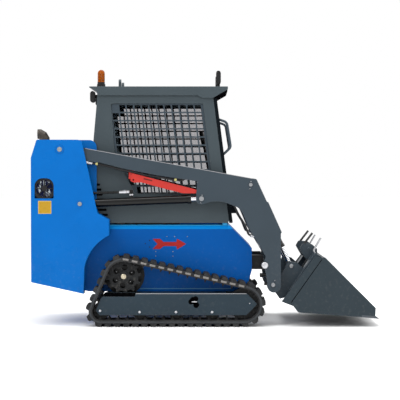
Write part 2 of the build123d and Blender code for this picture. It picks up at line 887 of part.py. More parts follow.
def mount_rows(near, far, low, high):
    """A strip along the back of the bucket: from near to far behind it, low to high up it."""
    up = (math.cos(MOUNT_ANGLE), math.sin(MOUNT_ANGLE))
    back = (-up[1], up[0])
    corners = ((low, near), (high, near), (high, far), (low, far))
    return [
        (MOUNT_FOOT[0] + a * up[0] + b * back[0], MOUNT_FOOT[1] + a * up[1] + b * back[1], 0)
        for a, b in corners
    ]


def bucket():
    """Bucket shell with its side plates, and the mounting strips on its back."""
    body = plate(BUCKET_OUTER, -BUCKET_HALF, BUCKET_HALF)
    body -= plate(BUCKET_INNER, -BUCKET_HALF + 8, BUCKET_HALF - 8)
    for low, high in ((-6, 60), (MOUNT_LENGTH - 70, MOUNT_LENGTH)):
        rows = mount_rows(-12, HOOK_THICK, low, high)
        body += plate(rows, -COUPLER_HALF - 40, COUPLER_HALF + 40) - plate(BUCKET_INNER, -592, 592)
    return body


def cutting_edge():
    return plate(CUTTING_EDGE, -BUCKET_HALF + 0.2, BUCKET_HALF - 0.2)


def coupler_frame():
    """Quick coupler: open plate behind the bucket, with two pairs of ears."""
    near, far = HOOK_THICK, HOOK_THICK + COUPLER_THICK
    body = plate(mount_rows(near, far, -4, MOUNT_LENGTH), -COUPLER_HALF, COUPLER_HALF)
    for y in ((-290, 290), (-450, -410), (410, 450)):
        body -= plate(mount_rows(near - 5, far + 5, 70, MOUNT_LENGTH - 80), *y)
    bucket_side = plate(mount_rows(-200, near, -300, 900), -500, 500)
    ear = plate(COUPLER_EAR, -ARM_IN, ARM_IN) - bucket_side
    for side in (-1, 1):
        for layer in ((315, 330), (385, 400)):
            low, high = span(side, *layer)
            body += ear & block((400, 1000), (low, high), (100, 700))
        for layer in ((200, 212), (262, 274)):
            body += plate(LOCK_LUG, *span(side, *layer)) - bucket_side
        body += pin(LOCK_PIN, 11, *span(side, 194, 280))
        body += pin(COUPLER_PIVOT, 40, *span(side, 315, 330))
        body += pin(TILT_PIN, 17, *span(side, 400, 406))
        body += pin(TILT_PIN, 17, *span(side, 308, 315))
        body -= pin(COUPLER_PIVOT, COUPLER_PIVOT_R + RUNNING, *span(side, 300, 409))
    return body


def coupler_lever(side):
    """Bent locking lever and its shorter release lever, at the top of the coupler."""
    points = ((855, 492), (892, 556), (882, 590), (940, 688))
    near, far = HOOK_THICK, HOOK_THICK + COUPLER_THICK
    carrier = plate(mount_rows(near - 30, far, -4, MOUNT_LENGTH), -COUPLER_HALF, COUPLER_HALF)
    release = tube((LOCK_PIN, (806, 634), (877, 726)), 14, 9, side * 237)
    release -= pin(LOCK_PIN, 11, *span(side, 200, 270))
    return [tube(points, 12, 8, side * 300) - carrier, release]


def export(name, shape):
    """Write one node; a list of solids that don't touch is kept as a compound."""
    whole = Compound(children=list(shape)) if isinstance(shape, list) else shape
    export_step(whole, f"parts/{name}.step")


def both(make):
    """The right and the left one of a piece that comes in pairs."""
    pair = []
    for _, side in SIDES:
        made = make(side)
        pair += made if isinstance(made, list) else [made]
    return pair


# Pieces made once for each side.
SIDE_PIECES = (
    ("tower", tower),
    ("cab_side", cab_side),
    ("screen", screen),
    ("track", track),
    ("track_frame", track_frame),
    ("arm", arm),
)

# Pieces that share a node with their like on the other side.
PAIRED_PIECES = (
    ("sprockets", sprocket),
    ("idlers_and_rollers", wheel_set),
    ("drive_motors", drive_motor),
    ("tower_pins", tower_pins),
    ("vent_guards", vent_guard),
    ("front_blocks", front_block),
    ("control_levers", control_lever),
    ("arm_pins", arm_pins),
    ("arm_braces", brace),
    ("arm_fittings", arm_fittings),
    ("arm_hoses", arm_hoses),
    ("lift_barrels", lift_barrel),
    ("lift_rods", lift_rod),
    ("tilt_barrels", tilt_barrel),
    ("tilt_rods", tilt_rod),
    ("coupler_levers", coupler_lever),
)

# Pieces across the middle of the machine.
SINGLE_PIECES = (
    ("main_frame", main_frame),
    ("rear_panel", rear_panel),
    ("engine", engine),
    ("radiator", radiator),
    ("exhaust", exhaust),
    ("rear_door", rear_door),
    ("hood", hood),
    ("cab_rear", cab_rear),
    ("rear_window", rear_window),
    ("roof", roof),
    ("seat_base", seat_base),
    ("seat_cushion", seat_cushion),
    ("seat_back", seat_back),
    ("beacon_base", beacon_base),
    ("beacon_lens", beacon_lens),
    ("work_lamps", work_lamps),
    ("cross_tube", cross_tube),
    ("coupler_frame", coupler_frame),
    ("bucket", bucket),
    ("cutting_edge", cutting_edge),
)

os.makedirs("parts", exist_ok=True)

for name, make in SIDE_PIECES:
    for letter, side in SIDES:
        export(f"{name}_{letter}", make(side))

for name, make in PAIRED_PIECES:
    export(name, both(make))

for name, make in SINGLE_PIECES:
    export(name, make())

front_posts = front_frame()
export("front_frame", front_posts)
export("grab_handles", [grab_handle(side, front_posts) for _, side in SIDES])
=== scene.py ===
"""Looks of a mini loader on rubber tracks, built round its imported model.

Everything is in metres in the model's frame: +X to the bucket, +Z up, the camera's side at -Y.
"""

import math

import bmesh
import bpy
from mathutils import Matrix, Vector


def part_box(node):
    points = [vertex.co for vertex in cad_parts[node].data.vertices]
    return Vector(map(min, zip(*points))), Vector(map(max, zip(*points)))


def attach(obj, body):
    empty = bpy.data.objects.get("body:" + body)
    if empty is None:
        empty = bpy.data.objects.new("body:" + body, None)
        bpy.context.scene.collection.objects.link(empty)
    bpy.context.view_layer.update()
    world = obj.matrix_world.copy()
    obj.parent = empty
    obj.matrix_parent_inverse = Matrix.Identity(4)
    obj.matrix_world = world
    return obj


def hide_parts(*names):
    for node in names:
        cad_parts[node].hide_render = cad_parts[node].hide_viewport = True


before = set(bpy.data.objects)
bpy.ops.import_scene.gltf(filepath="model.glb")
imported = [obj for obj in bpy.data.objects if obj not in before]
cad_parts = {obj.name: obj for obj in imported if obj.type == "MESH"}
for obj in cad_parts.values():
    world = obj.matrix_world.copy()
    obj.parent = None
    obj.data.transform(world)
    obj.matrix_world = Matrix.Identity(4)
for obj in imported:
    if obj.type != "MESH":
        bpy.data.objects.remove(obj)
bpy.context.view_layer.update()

# Camera: how far it stands from the near side, and what it sees there.
CAMERA_AT = (-0.020, -12.2, 1.2214)
NEAR_SIDE = -0.600
VIEW_WIDTH = 3.152
SENSOR = 36.0
FRAME_SHIFT = (-0.005, -0.07)

# The right side, where the camera is, and the left.
SIDES = (-1, 1)

# Layers of the machine, in metres from the middle plane.
DECK_EDGE = 0.336
TILT_Y = 0.357
TUB_FACE = 0.362
RING_FACE = 0.370
CAB_FACE = 0.375
EAR_FACE = 0.406
LIFT_Y = 0.450
MOTOR_FACE = 0.4605
CLAMP_FACE = 0.465
BRACE_FACE = 0.475
ARM_FACE = 0.490
FAN_FACE = 0.4945
STOP_FACE = 0.500
TOWER_FACE = 0.520
HUB_FACE = 0.525
RECESS_FACE = 0.560
PLATE_FACE = 0.570
BUCKET_FACE = 0.600
TRACK_MIDDLE = 0.487
TRACK_HALF = 0.115

# Track: wheels with x, z and pitch radius, as the model has them.
LINKS = 44
TEETH = 12
TOOTH_PITCH = 0.072
SPROCKET_R = TEETH * TOOTH_PITCH / (2 * math.pi)
WHEELS = ((-0.642, 0.392, SPROCKET_R), (0.3075, 0.176, 0.137), (-0.816, 0.123, 0.084))

# Colours as they show in the photo, in sRGB.
BLUE = (2, 121, 216)
# The tub's blue is a darker copy of the blue, as painted shade under the overhang; the bevel and crest
# blues are lighter copies, as painted highlights where light from above falls.
SHADED_TUB_BLUE = (0, 102, 196)
LIT_BEVEL_BLUE = (4, 158, 255)
LIT_CREST_BLUE = (70, 190, 255)
GREY = (67, 80, 90)
PLATE_GREY = (46, 64, 76)
CAB_GREY = (76, 88, 94)
BUCKET_GREY = (52, 65, 73)
RED = (224, 64, 56)
SIGNAL_YELLOW = (212, 166, 40)
LABEL_BORDER = (240, 200, 110)
TAG_YELLOW = (222, 214, 140)
RUBBER_BLACK = (38, 39, 41)
STEEL = (198, 199, 203)
# Lighter colour of the paint's edges: wear, and on the grey, cab and plate paints also a painted
# highlight.
EDGE_WEAR_AND_HIGHLIGHT = (150, 156, 160)

# The studio's light falls on a wall more strongly than 1, so the painted colours are this much deeper.
EXPOSED = 0.55

# Dirt, in scene colours.
DUST = (0.34, 0.31, 0.27, 1.0)
GRIME = (0.10, 0.09, 0.08, 1.0)
OIL_FILM = (0.42, 0.40, 0.36, 1.0)
SOOT = (0.03, 0.03, 0.03, 1.0)
GLASS_DUST = (0.7, 0.7, 0.68, 1.0)


def linear(colour):
    """Scene colour from an sRGB one in 0 to 255."""
    out = []
    for value in colour:
        part = value / 255
        out.append(part / 12.92 if part <= 0.04045 else ((part + 0.055) / 1.055) ** 2.4)
    return (*out, 1.0)


def shade(colour, factor):
    return (*(value * factor for value in colour[:3]), 1.0)


def skin(colour):
    """Base colour that shows as the given sRGB one in the studio's light."""
    return shade(linear(colour), EXPOSED)


class Shader:
    """A material's nodes, with short calls to add and join them."""

    def __init__(self, name):
        self.material = bpy.data.materials.new(name)
        self.material.use_nodes = True
        self.tree = self.material.node_tree
        self.body = self.tree.nodes["Principled BSDF"]
        self.place = self.node("ShaderNodeTexCoord").outputs["Object"]

    def feed(self, socket, value):
        """Join another node's output to a socket, or give the socket a plain value."""
        if isinstance(value, bpy.types.NodeSocket):
            self.tree.links.new(value, socket)
        else:
            socket.default_value = value

    def node(self, kind, feeds=None, **settings):
        """A node with its settings, and a value or another node's output for some inputs."""
        made = self.tree.nodes.new(kind)
        for key, value in settings.items():
            setattr(made, key, value)
        for key, value in (feeds or {}).items():
            self.feed(made.inputs[key], value)
        return made

    def set(self, **values):
        """Constants on the shader's own sockets."""
        for name, value in values.items():
            self.body.inputs[name.replace("_", " ")].default_value = value

    def noise(self, scale, detail=4.0, rough=0.55, stretch=None):
        """Cloudy noise; stretch is a further scale along each axis."""
        place = self.place
        if stretch:
            place = self.node("ShaderNodeMapping", {"Vector": place, "Scale": stretch}).outputs["Vector"]
        feeds = {"Vector": place, "Scale": scale, "Detail": detail, "Roughness": rough}
        return self.node("ShaderNodeTexNoise", feeds).outputs["Fac"]

    def cells(self, scale, feature="F1"):
        """Distance in a pattern of cells."""
        feeds = {"Vector": self.place, "Scale": scale}
        return self.node("ShaderNodeTexVoronoi", feeds, feature=feature).outputs["Distance"]

    def waves(self, direction, profile, scale):
        """Even bands along an axis."""
        made = self.node(
            "ShaderNodeTexWave", {"Vector": self.place, "Scale": scale},
            wave_type="BANDS", bands_direction=direction, wave_profile=profile,
        )
        return made.outputs["Fac"]

    def ramp(self, value, low, high, at_low=0.0, at_high=1.0):
        """value, taken from the range low to high into at_low to at_high."""
        feeds = {"Value": value, "From Min": low, "From Max": high, "To Min": at_low, "To Max": at_high}
        return self.node("ShaderNodeMapRange", feeds).outputs["Result"]

    def spread(self, noise, low=0.0, high=1.0):
        """Noise, taken from its usual range into low to high."""
        return self.ramp(noise, 0.3, 0.7, low, high)

    def times(self, first, second):
        return self.math("MULTIPLY", first, second)

    def math(self, operation, first, second):
        return self.node("ShaderNodeMath", {0: first, 1: second}, operation=operation).outputs["Value"]

    def mix(self, factor, first, second):
        """Colour between first and second; each is a colour or another node's output."""
        feeds = {"Factor": factor, 6: first, 7: second}
        return self.node("ShaderNodeMix", feeds, data_type="RGBA").outputs[2]

    def at(self, axis):
        """The point's place along an axis, with the machine at rest."""
        return self.node("ShaderNodeSeparateXYZ", {"Vector": self.place}).outputs[axis]

    def past(self, value, limit):
        """0 below a limit and 1 over it, with 2 mm between."""
        return self.ramp(value, limit - 0.001, limit + 0.001)

    def outer(self, distance):
        """1 on what lies further than that from the middle plane."""
        return self.past(self.math("ABSOLUTE", self.at("Y"), 0.0), distance)

    def edges(self, radius):
        """1 on the edges of the solid and 0 on its faces, with the rounded normal."""
        rounded = self.node("ShaderNodeBevel", {"Radius": radius}, samples=6).outputs["Normal"]
        flat = self.node("ShaderNodeNewGeometry").outputs["Normal"]
        dot = self.node("ShaderNodeVectorMath", {0: rounded, 1: flat}, operation="DOT_PRODUCT")
        return self.ramp(dot.outputs["Value"], 0.97, 0.80), rounded

    def bump(self, value, distance, strength=1.0, normal=None):
        """Relief by value, over the mesh's own normal or a given one."""
        feeds = {"Height": value, "Distance": distance, "Strength": strength}
        if normal is not None:
            feeds["Normal"] = normal
        return self.node("ShaderNodeBump", feeds).outputs["Normal"]

    def finish(self, colour, roughness, normal):
        """Join what the material ends in, and give it back."""
        for key, value in (("Base Color", colour), ("Roughness", roughness), ("Normal", normal)):
            self.feed(self.body.inputs[key], value)
        return self.material


def paint(
    name, colour, gloss=0.34, coat=0.08, dust=0.10, edge_lightening=0.16, edge=0.0016, shine=0.15, upper=(),
):
    """Sprayed paint: soft mottling, dust low down, lighter edges that are part wear and part painted
    highlight, and a fine orange peel.

    upper has rows of a lighter colour, a painted highlight for faces that catch light from above, and the
    height from which the outer faces have it, from the lowest up.
    """
    s = Shader(name)
    base = skin(colour)
    cloud = s.spread(s.noise(2.6, 5.0))
    tone = s.mix(cloud, shade(base, 0.94), shade(base, 1.06))
    # Lighter bands up high on the outer faces: painted highlight.
    for above, height in upper:
        lifted = s.past(s.at("Z"), height)
        tone = s.mix(s.times(lifted, s.outer(DECK_EDGE)), tone, skin(above))
    speck = s.ramp(s.noise(38.0, 6.0), 0.54, 0.74, 0.0, dust)
    low = s.ramp(s.at("Z"), 0.75, 0.10)
    dusty = s.mix(s.times(speck, low), tone, DUST)
    mask, rounded = s.edges(edge)
    chips = s.ramp(s.noise(95.0, 5.0), 0.42, 0.66)
    # Lighter chipped edges: wear, and where set strong a painted highlight along the edges.
    edge_wear_and_highlight = s.times(s.times(mask, chips), edge_lightening)
    colour_out = s.mix(edge_wear_and_highlight, dusty, linear(EDGE_WEAR_AND_HIGHLIGHT))
    peel = s.noise(620.0, 2.0)
    rough = s.spread(s.noise(11.0, 4.0), gloss - 0.05, gloss + 0.08)
    s.set(Coat_Weight=coat, Coat_Roughness=0.16, Specular_IOR_Level=shine)
    return s.finish(colour_out, rough, s.bump(peel, 0.00012, 0.55, rounded))


def metal(name, colour, rough, grime):
    """Bare metal: brushed streaks, blotches of grime and rounded edges."""
    s = Shader(name)
    base = linear(colour)
    lines = s.noise(6.0, 8.0, 0.6, stretch=(4.0, 160.0, 160.0))
    tone = s.mix(s.spread(lines), shade(base, 0.84), base)
    blot = s.ramp(s.noise(30.0, 5.0), 0.5, 0.75, 0.0, grime)
    _, rounded = s.edges(0.0012)
    colour_out = s.mix(blot, tone, GRIME)
    rough_out = s.spread(lines, rough - 0.07, rough + 0.12)
    s.set(Metallic=1.0)
    return s.finish(colour_out, rough_out, s.bump(lines, 0.00008, 0.6, rounded))


def levers(name, at):
    """Lock levers: black paint up to a distance from the middle plane, and bare steel past it."""
    s = Shader(name)
    steel = s.outer(at)
    lines = s.noise(60.0, 5.0)
    bare = s.mix(lines, linear((120, 121, 124)), linear((190, 191, 194)))
    s.feed(s.body.inputs["Metallic"], steel)
    rough = s.spread(lines, 0.26, 0.42)
    return s.finish(s.mix(steel, skin((32, 34, 35)), bare), rough, s.bump(lines, 0.0001, 0.4))


def chrome(name):
    """Hard chrome on a rod, with the faint rings that its polishing leaves and a film of oil."""
    s = Shader(name)
    base = linear((226, 228, 232))
    rings = s.noise(3.0, 6.0, 0.6, stretch=(260.0, 8.0, 8.0))
    film = s.ramp(s.noise(9.0, 4.0), 0.45, 0.7, 0.0, 0.22)
    tone = s.mix(film, base, OIL_FILM)
    _, rounded = s.edges(0.001)
    rough = s.spread(rings, 0.06, 0.16)
    s.set(Metallic=1.0)
    return s.finish(tone, rough, s.bump(rings, 0.00002, 0.4, rounded))


def rubber(name, colour, rough=0.72, dust=0.5):
    """Moulded rubber: pores, a dusty bloom on the raised parts and scuffed edges."""
    s = Shader(name)
    base = skin(colour)
    bloom = s.ramp(s.noise(14.0, 6.0), 0.42, 0.68, 0.0, dust)
    tone = s.mix(bloom, base, linear((60, 60, 60)))
    mask, rounded = s.edges(0.004)
    scuffs = s.ramp(s.noise(60.0, 4.0), 0.35, 0.65, 0.1, 0.75)
    colour_out = s.mix(s.times(mask, scuffs), tone, linear((80, 79, 78)))
    pores = s.cells(900.0)
    lumps = s.noise(160.0, 4.0)
    height = s.math("ADD", s.times(pores, 0.4), lumps)
    rough_out = s.spread(s.noise(24.0, 3.0), rough - 0.1, rough + 0.12)
    s.set(Specular_IOR_Level=0.25)
    return s.finish(colour_out, rough_out, s.bump(height, 0.0006, 0.5, rounded))


def plastic(name, colour):
    """Moulded plastic with a fine spark grain."""
    s = Shader(name)
    base = skin(colour)
    cloud = s.ramp(s.noise(20.0, 4.0), 0.35, 0.7)
    tone = s.mix(cloud, shade(base, 0.88), shade(base, 1.14))
    _, rounded = s.edges(0.0015)
    grain = s.cells(1500.0)
    rough_out = s.spread(s.noise(45.0, 3.0), 0.44, 0.6)
    s.set(Specular_IOR_Level=0.25)
    return s.finish(tone, rough_out, s.bump(grain, 0.0001, 0.6, rounded))


def vent_shade_and_glints(name):
    """Painted shade inside a fan's opening: a near-black navy sheet with thin painted highlight streaks
    for glints on pipes inside.
    """
    s = Shader(name)
    glint_streaks = s.noise(26.0, 6.0, 0.7, stretch=(1.6, 1.0, 0.5))
    lit = s.ramp(glint_streaks, 0.53, 0.60)
    tone = s.mix(lit, (0.002, 0.004, 0.022, 1.0), (0.42, 0.47, 0.50, 1.0))
    s.set(Specular_IOR_Level=0.1)
    return s.finish(tone, s.ramp(lit, 0.0, 1.0, 0.8, 0.4), s.bump(lit, 0.001, 0.6))


def painted_shade(name):
    """Painted shade: a near-black sheet that reflects almost nothing, with a trace of dust, laid over
    holes, slots, recesses, lips and edges that lie in shade.
    """
    s = Shader(name)
    dust = s.ramp(s.noise(24.0, 4.0), 0.5, 0.8)
    tone = s.mix(dust, (0.0012, 0.0012, 0.0015, 1.0), (0.005, 0.005, 0.005, 1.0))
    s.set(Specular_IOR_Level=0.0)
    return s.finish(tone, s.ramp(dust, 0.0, 1.0, 0.9, 1.0), s.bump(s.noise(300.0, 3.0), 0.0001, 0.4))


def vinyl(name, colour):
    """Seat cover: creased leather grain over small cells, darker in the creases as painted shade, a
    little worn on top.
    """
    s = Shader(name)
    base = skin(colour)
    creases = s.cells(420.0, "DISTANCE_TO_EDGE")
    fold_shading = s.ramp(creases, 0.0, 0.12)
    rub = s.ramp(s.noise(9.0, 4.0), 0.45, 0.72, 0.0, 0.5)
    tone = s.mix(rub, base, shade(base, 1.9))
    # Darker in the creases: painted shade.
    colour_out = s.mix(fold_shading, shade(base, 0.55), tone)
    rough = s.spread(s.noise(30.0, 3.0), 0.42, 0.6)
    s.set(Sheen_Weight=0.1)
    pebbles = s.math("ADD", fold_shading, s.times(s.noise(260.0, 3.0), 0.6))
    return s.finish(colour_out, rough, s.bump(pebbles, 0.0004, 0.6))


def cast_iron(name):
    """Sand-cast iron with blotches of rust."""
    s = Shader(name)
    base = linear((62, 62, 64))
    rust = s.ramp(s.noise(12.0, 7.0), 0.55, 0.75, 0.0, 0.55)
    tone = s.mix(rust, base, linear((86, 62, 48)))
    _, rounded = s.edges(0.006)
    sand = s.noise(320.0, 5.0, 0.7)
    rough = s.spread(sand, 0.55, 0.8)
    s.set(Metallic=0.35)
    return s.finish(tone, rough, s.bump(sand, 0.0009, 0.7, rounded))


def heated_steel(name):
    """Exhaust pipe: brown and straw tints along its height, with soot at the mouth."""
    s = Shader(name)
    height = s.ramp(s.at("Z"), 1.40, 1.56)
    wavy = s.math("ADD", height, s.spread(s.noise(14.0, 4.0), -0.2, 0.2))
    straw = s.mix(wavy, linear((84, 76, 66)), linear((66, 62, 58)))
    soot = s.ramp(s.noise(40.0, 5.0), 0.5, 0.8, 0.0, 0.6)
    colour_out = s.mix(soot, straw, SOOT)
    _, rounded = s.edges(0.0012)
    lines = s.noise(40.0, 6.0)
    s.set(Metallic=0.85)
    return s.finish(colour_out, s.spread(lines, 0.36, 0.6), s.bump(lines, 0.0003, 0.4, rounded))


def fins(name):
    """Cooler core: close upright tubes with folded fins between them, and darker gaps between them as
    painted shade.
    """
    s = Shader(name)
    both = s.times(s.waves("Y", "SIN", 32.0), s.waves("Z", "TRI", 110.0))
    base = linear((118, 120, 122))
    # Darker in the gaps between tubes and fins: painted shade.
    colour_out = s.mix(both, shade(base, 0.25), base)
    s.set(Metallic=0.8)
    return s.finish(colour_out, s.ramp(both, 0.0, 1.0, 0.6, 0.38), s.bump(both, 0.002, 0.8))


def glass(name, tint):
    """Flat tinted glass with a trace of dust."""
    s = Shader(name)
    dust = s.ramp(s.noise(22.0, 5.0), 0.5, 0.8, 0.0, 0.12)
    colour_out = s.mix(dust, tint, GLASS_DUST)
    s.set(Transmission_Weight=1.0, IOR=1.02, Specular_IOR_Level=0.1)
    return s.finish(colour_out, s.ramp(dust, 0.0, 0.25, 0.02, 0.2), s.bump(dust, 0.00005, 0.3))


def lens(name, colour, clear=0.55, coat=0.6, shine=0.5):
    """Lamp lens with fluted ribs inside."""
    s = Shader(name)
    ribs = s.waves("Z", "SIN", 26.0)
    base = linear(colour)
    colour_out = s.mix(ribs, shade(base, 0.45), base)
    s.set(Transmission_Weight=clear, IOR=1.49, Specular_IOR_Level=shine)
    s.set(Coat_Weight=coat, Coat_Roughness=0.05)
    rough = s.spread(s.noise(20.0, 3.0), 0.12, 0.25)
    return s.finish(colour_out, rough, s.bump(ribs, 0.0008, 0.5))


def decal(name, colour):
    """Printed film: flat colour with faint dirt and a little unevenness from the paint below."""
    s = Shader(name)
    base = skin(colour)
    dirt = s.ramp(s.noise(70.0, 5.0), 0.5, 0.78, 0.0, 0.3)
    colour_out = s.mix(dirt, base, shade(base, 0.7))
    peel = s.noise(420.0, 2.0)
    rough_out = s.spread(s.noise(14.0, 3.0), 0.36, 0.5)
    s.set(Specular_IOR_Level=0.2)
    return s.finish(colour_out, rough_out, s.bump(peel, 0.00008, 0.5))


MATERIALS = {
    "blue": paint("blue_paint", BLUE, gloss=0.30, coat=0.05, edge_lightening=0.10, shine=0.06),
    # Tub: the darker blue is painted shade, and the lighter bands on the outer faces above the bevel and
    # crest heights are painted highlights.
    "tub": paint(
        "tub_paint", SHADED_TUB_BLUE, coat=0.03, edge_lightening=0.10, shine=0.05,
        upper=((LIT_BEVEL_BLUE, 0.7625), (LIT_CREST_BLUE, 0.7885)),
    ),
    # Lighter blue for a strip on the tub's low fold line: a painted highlight where the fold catches
    # light from above.
    "fold_shading": paint("fold_highlight_paint", (92, 164, 226), edge_lightening=0.1),
    # The grey, cab and plate paints lighten their edges strongly: part wear, part painted highlight along
    # edges that catch light.
    "grey": paint("grey_paint", GREY, gloss=0.42, edge_lightening=0.5, edge=0.005),
    "cab": paint("cab_paint", CAB_GREY, gloss=0.42, edge_lightening=0.5, edge=0.005),
    # Light grey for thin strips on the frame plate's and the arm's top edges: painted highlights where
    # the edges catch light from above.
    "glint": paint("glint_paint", (184, 184, 188), gloss=0.34, edge_lightening=0.2),
    "plate": paint("plate_paint", PLATE_GREY, gloss=0.42, dust=0.04, edge_lightening=0.5, edge=0.005),
    # Painted shade with painted glints, laid over the fan's opening.
    "core": vent_shade_and_glints("vent_shade_and_glints"),
    "bucket": paint("bucket_paint", BUCKET_GREY, gloss=0.46, coat=0.05, dust=0.06, edge_lightening=0.3, edge=0.003),
    "red": paint("red_paint", RED),
    "black": paint("black_paint", (30, 31, 33), gloss=0.42),
    "shadow": paint("shadow_paint", (12, 20, 26), gloss=0.5, coat=0.0, shine=0.05),
    "barrel": paint("barrel_paint", (6, 7, 7), gloss=0.20, coat=0.2, dust=0.0, edge_lightening=0.05, shine=0.2),
    "track": rubber("track_rubber", RUBBER_BLACK),
    "bead": rubber("bead_rubber", (62, 66, 70), rough=0.55, dust=0.15),
    # Light grey rubber for the track's upper bars: a painted highlight on their rounded shoulders.
    "lit_shoulder": rubber("lit_shoulder_rubber", (150, 146, 142), rough=0.42, dust=0.1),
    "rubber": rubber("hose_rubber", (30, 30, 32), rough=0.45, dust=0.2),
    "steel": metal("zinc_steel", STEEL, rough=0.30, grime=0.12),
    "pin": metal("pin_steel", (150, 152, 155), rough=0.42, grime=0.2),
    "edge": metal("worn_steel", (86, 92, 98), rough=0.5, grime=0.5),
    "sprocket": paint("sprocket_paint", (38, 40, 42), gloss=0.5, coat=0.05, dust=0.2, edge_lightening=0.6),
    "brass": metal("hub_metal", (206, 196, 172), rough=0.34, grime=0.2),
    "lever": levers("lever_finish", 0.26),
    "chrome": chrome("rod_chrome"),
    "iron": cast_iron("engine_iron"),
    "exhaust": heated_steel("exhaust_steel"),
    "fins": fins("cooler_fins"),
    "glass": glass("window_glass", (0.86, 0.90, 0.90, 1.0)),
    "tinted": glass("tinted_glass", (0.60, 0.595, 0.605, 1.0)),
    "vinyl": vinyl("seat_vinyl", (38, 38, 41)),
    "plastic": plastic("black_plastic", (28, 28, 30)),
    # Near-black painted shade for holes, slots, recesses, the visor lip and the line along the bucket
    # rib's edge.
    "painted_shade": painted_shade("painted_shade_film"),
    "amber": lens("amber_lens", (150, 72, 0), clear=0.0, coat=0.05, shine=0.1),
    "clear_lens": lens("clear_lens", (225, 228, 230)),
    "yellow": decal("yellow_film", SIGNAL_YELLOW),
    "border": decal("border_film", LABEL_BORDER),
    "tag": decal("tag_film", TAG_YELLOW),
    # Darker red for the brace's slot: painted shade in its recess, drawn as a film.
    "slot_shade": decal("slot_shade_red", (128, 38, 34)),
    "arrow": decal("red_film", (196, 32, 30)),
}

# Model nodes, and the material that each gets.
NODE_MATERIALS = {
    "blue": ("tower_r", "tower_l", "rear_panel", "rear_door", "hood"),
    "tub": ("main_frame",),
    "grey": (
        "arm_r", "arm_l", "cross_tube", "coupler_frame", "screen_r", "screen_l", "grab_handles",
    ),
    "cab": ("cab_side_r", "cab_side_l", "cab_rear", "roof"),
    "plate": ("track_frame_r", "track_frame_l"),
    "bucket": ("bucket",),
    "edge": ("cutting_edge",),
    "track": ("track_r", "track_l"),
    "sprocket": ("sprockets",),
    "barrel": ("lift_barrels", "tilt_barrels"),
    "black": (
        "idlers_and_rollers", "drive_motors", "front_blocks", "control_levers",
        "seat_base", "arm_fittings",
    ),
    "shadow": ("front_frame",),
    "plastic": ("vent_guards", "beacon_base", "work_lamps"),
    "rubber": ("arm_hoses",),
    "pin": ("tower_pins", "arm_pins"),
    "lever": ("coupler_levers",),
    "chrome": ("lift_rods", "tilt_rods"),
    "red": ("arm_braces",),
    "iron": ("engine",),
    "exhaust": ("exhaust",),
    "fins": ("radiator",),
    "glass": ("rear_window",),
    "vinyl": ("seat_cushion", "seat_back"),
    "amber": ("beacon_lens",),
}


def dress_nodes():
    """Give every model node its material."""
    for key, nodes in NODE_MATERIALS.items():
        for node in nodes:
            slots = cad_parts[node].data.materials
            slots.clear()
            slots.append(MATERIALS[key])


def mesh_object(name, bm):
    """An object in the scene from a filled bmesh."""
    mesh = bpy.data.meshes.new(name)
    bm.to_mesh(mesh)
    bm.free()
    made = bpy.data.objects.new(name, mesh)
    bpy.context.scene.collection.objects.link(made)
    return made


def piece(name, mesh_maker, material, body):
    """A mesh object from a function that fills a bmesh, riding on a body."""
    bm = bmesh.new()
    mesh_maker(bm)
    bmesh.ops.recalc_face_normals(bm, faces=bm.faces)
    made = mesh_object(name, bm)
    made.data.materials.append(MATERIALS[material])
    made.data.shade_smooth()
    made.data.set_sharp_from_angle(angle=math.radians(32))
    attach(made, body)
    return made


def turned(bm, at, axis, profile, segments=20):
    """A solid of revolution: profile rows are (radius, distance along axis) from at.

    A last radius of 0 ends it in a point.
    """
    z = Vector(axis).normalized()
    x = z.orthogonal().normalized()
    y = z.cross(x)
    rings = []
    for radius, along in profile:
        centre = Vector(at) + z * along
        if radius <= 0:
            rings.append([bm.verts.new(centre)])
            continue
        ring = []
        for index in range(segments):
            angle = 2 * math.pi * index / segments
            ring.append(bm.verts.new(centre + (x * math.cos(angle) + y * math.sin(angle)) * radius))
        rings.append(ring)
    for below, above in zip(rings, rings[1:]):
        for index in range(segments):
            following = (index + 1) % segments
            if len(above) == 1:
                bm.faces.new((below[index], below[following], above[0]))
            else:
                bm.faces.new((below[index], below[following], above[following], above[index]))
    bm.faces.new(list(reversed(rings[0])))
    if len(rings[-1]) > 1:
        bm.faces.new(rings[-1])


def hex_bolt(bm, at, axis, size, washer=True):
    """Hexagon head on a washer; size is the width across the flats."""
    rise = size * 0.12 if washer else 0.0
    if washer:
        rim = size * 0.85
        turned(bm, at, axis, ((rim, 0), (rim, rise * 0.7), (rim * 0.94, rise)), 18)
    radius = size / math.sqrt(3)
    head = ((radius, rise), (radius, rise + size * 0.42), (radius * 0.86, rise + size * 0.52))
    turned(bm, at, axis, head, 6)


def dome(bm, at, axis, radius, height):
    """Round button head."""
    rows = [(radius, 0.0)]
    for step in range(1, 5):
        angle = step / 5 * math.pi / 2
        rows.append((radius * math.cos(angle), height * math.sin(angle)))
    rows.append((0.0, height))
    turned(bm, at, axis, rows, 20)


def slab(bm, points, y_low, y_high, bevel=0.0):
    """A flat plate: points are (x, z) round its outline."""
    front = [bm.verts.new((x, y_low, z)) for x, z in points]
    back = [bm.verts.new((x, y_high, z)) for x, z in points]
    faces = [bm.faces.new(front), bm.faces.new(list(reversed(back)))]
    for index in range(len(points)):
        following = (index + 1) % len(points)
        faces.append(bm.faces.new((front[index], back[index], back[following], front[following])))
    if bevel:
        rims = [e for face in faces[:2] for e in face.edges]
        bmesh.ops.bevel(bm, geom=rims, offset=bevel, segments=2, affect="EDGES")


def out(side):
    """The direction away from the middle plane."""
    return (0, side, 0)


def around(x, y, z, radius, degrees):
    """Place on an upright circle round x and z, at an angle from the front upwards."""
    angle = math.radians(degrees)
    return (x + radius * math.cos(angle), y, z + radius * math.sin(angle))


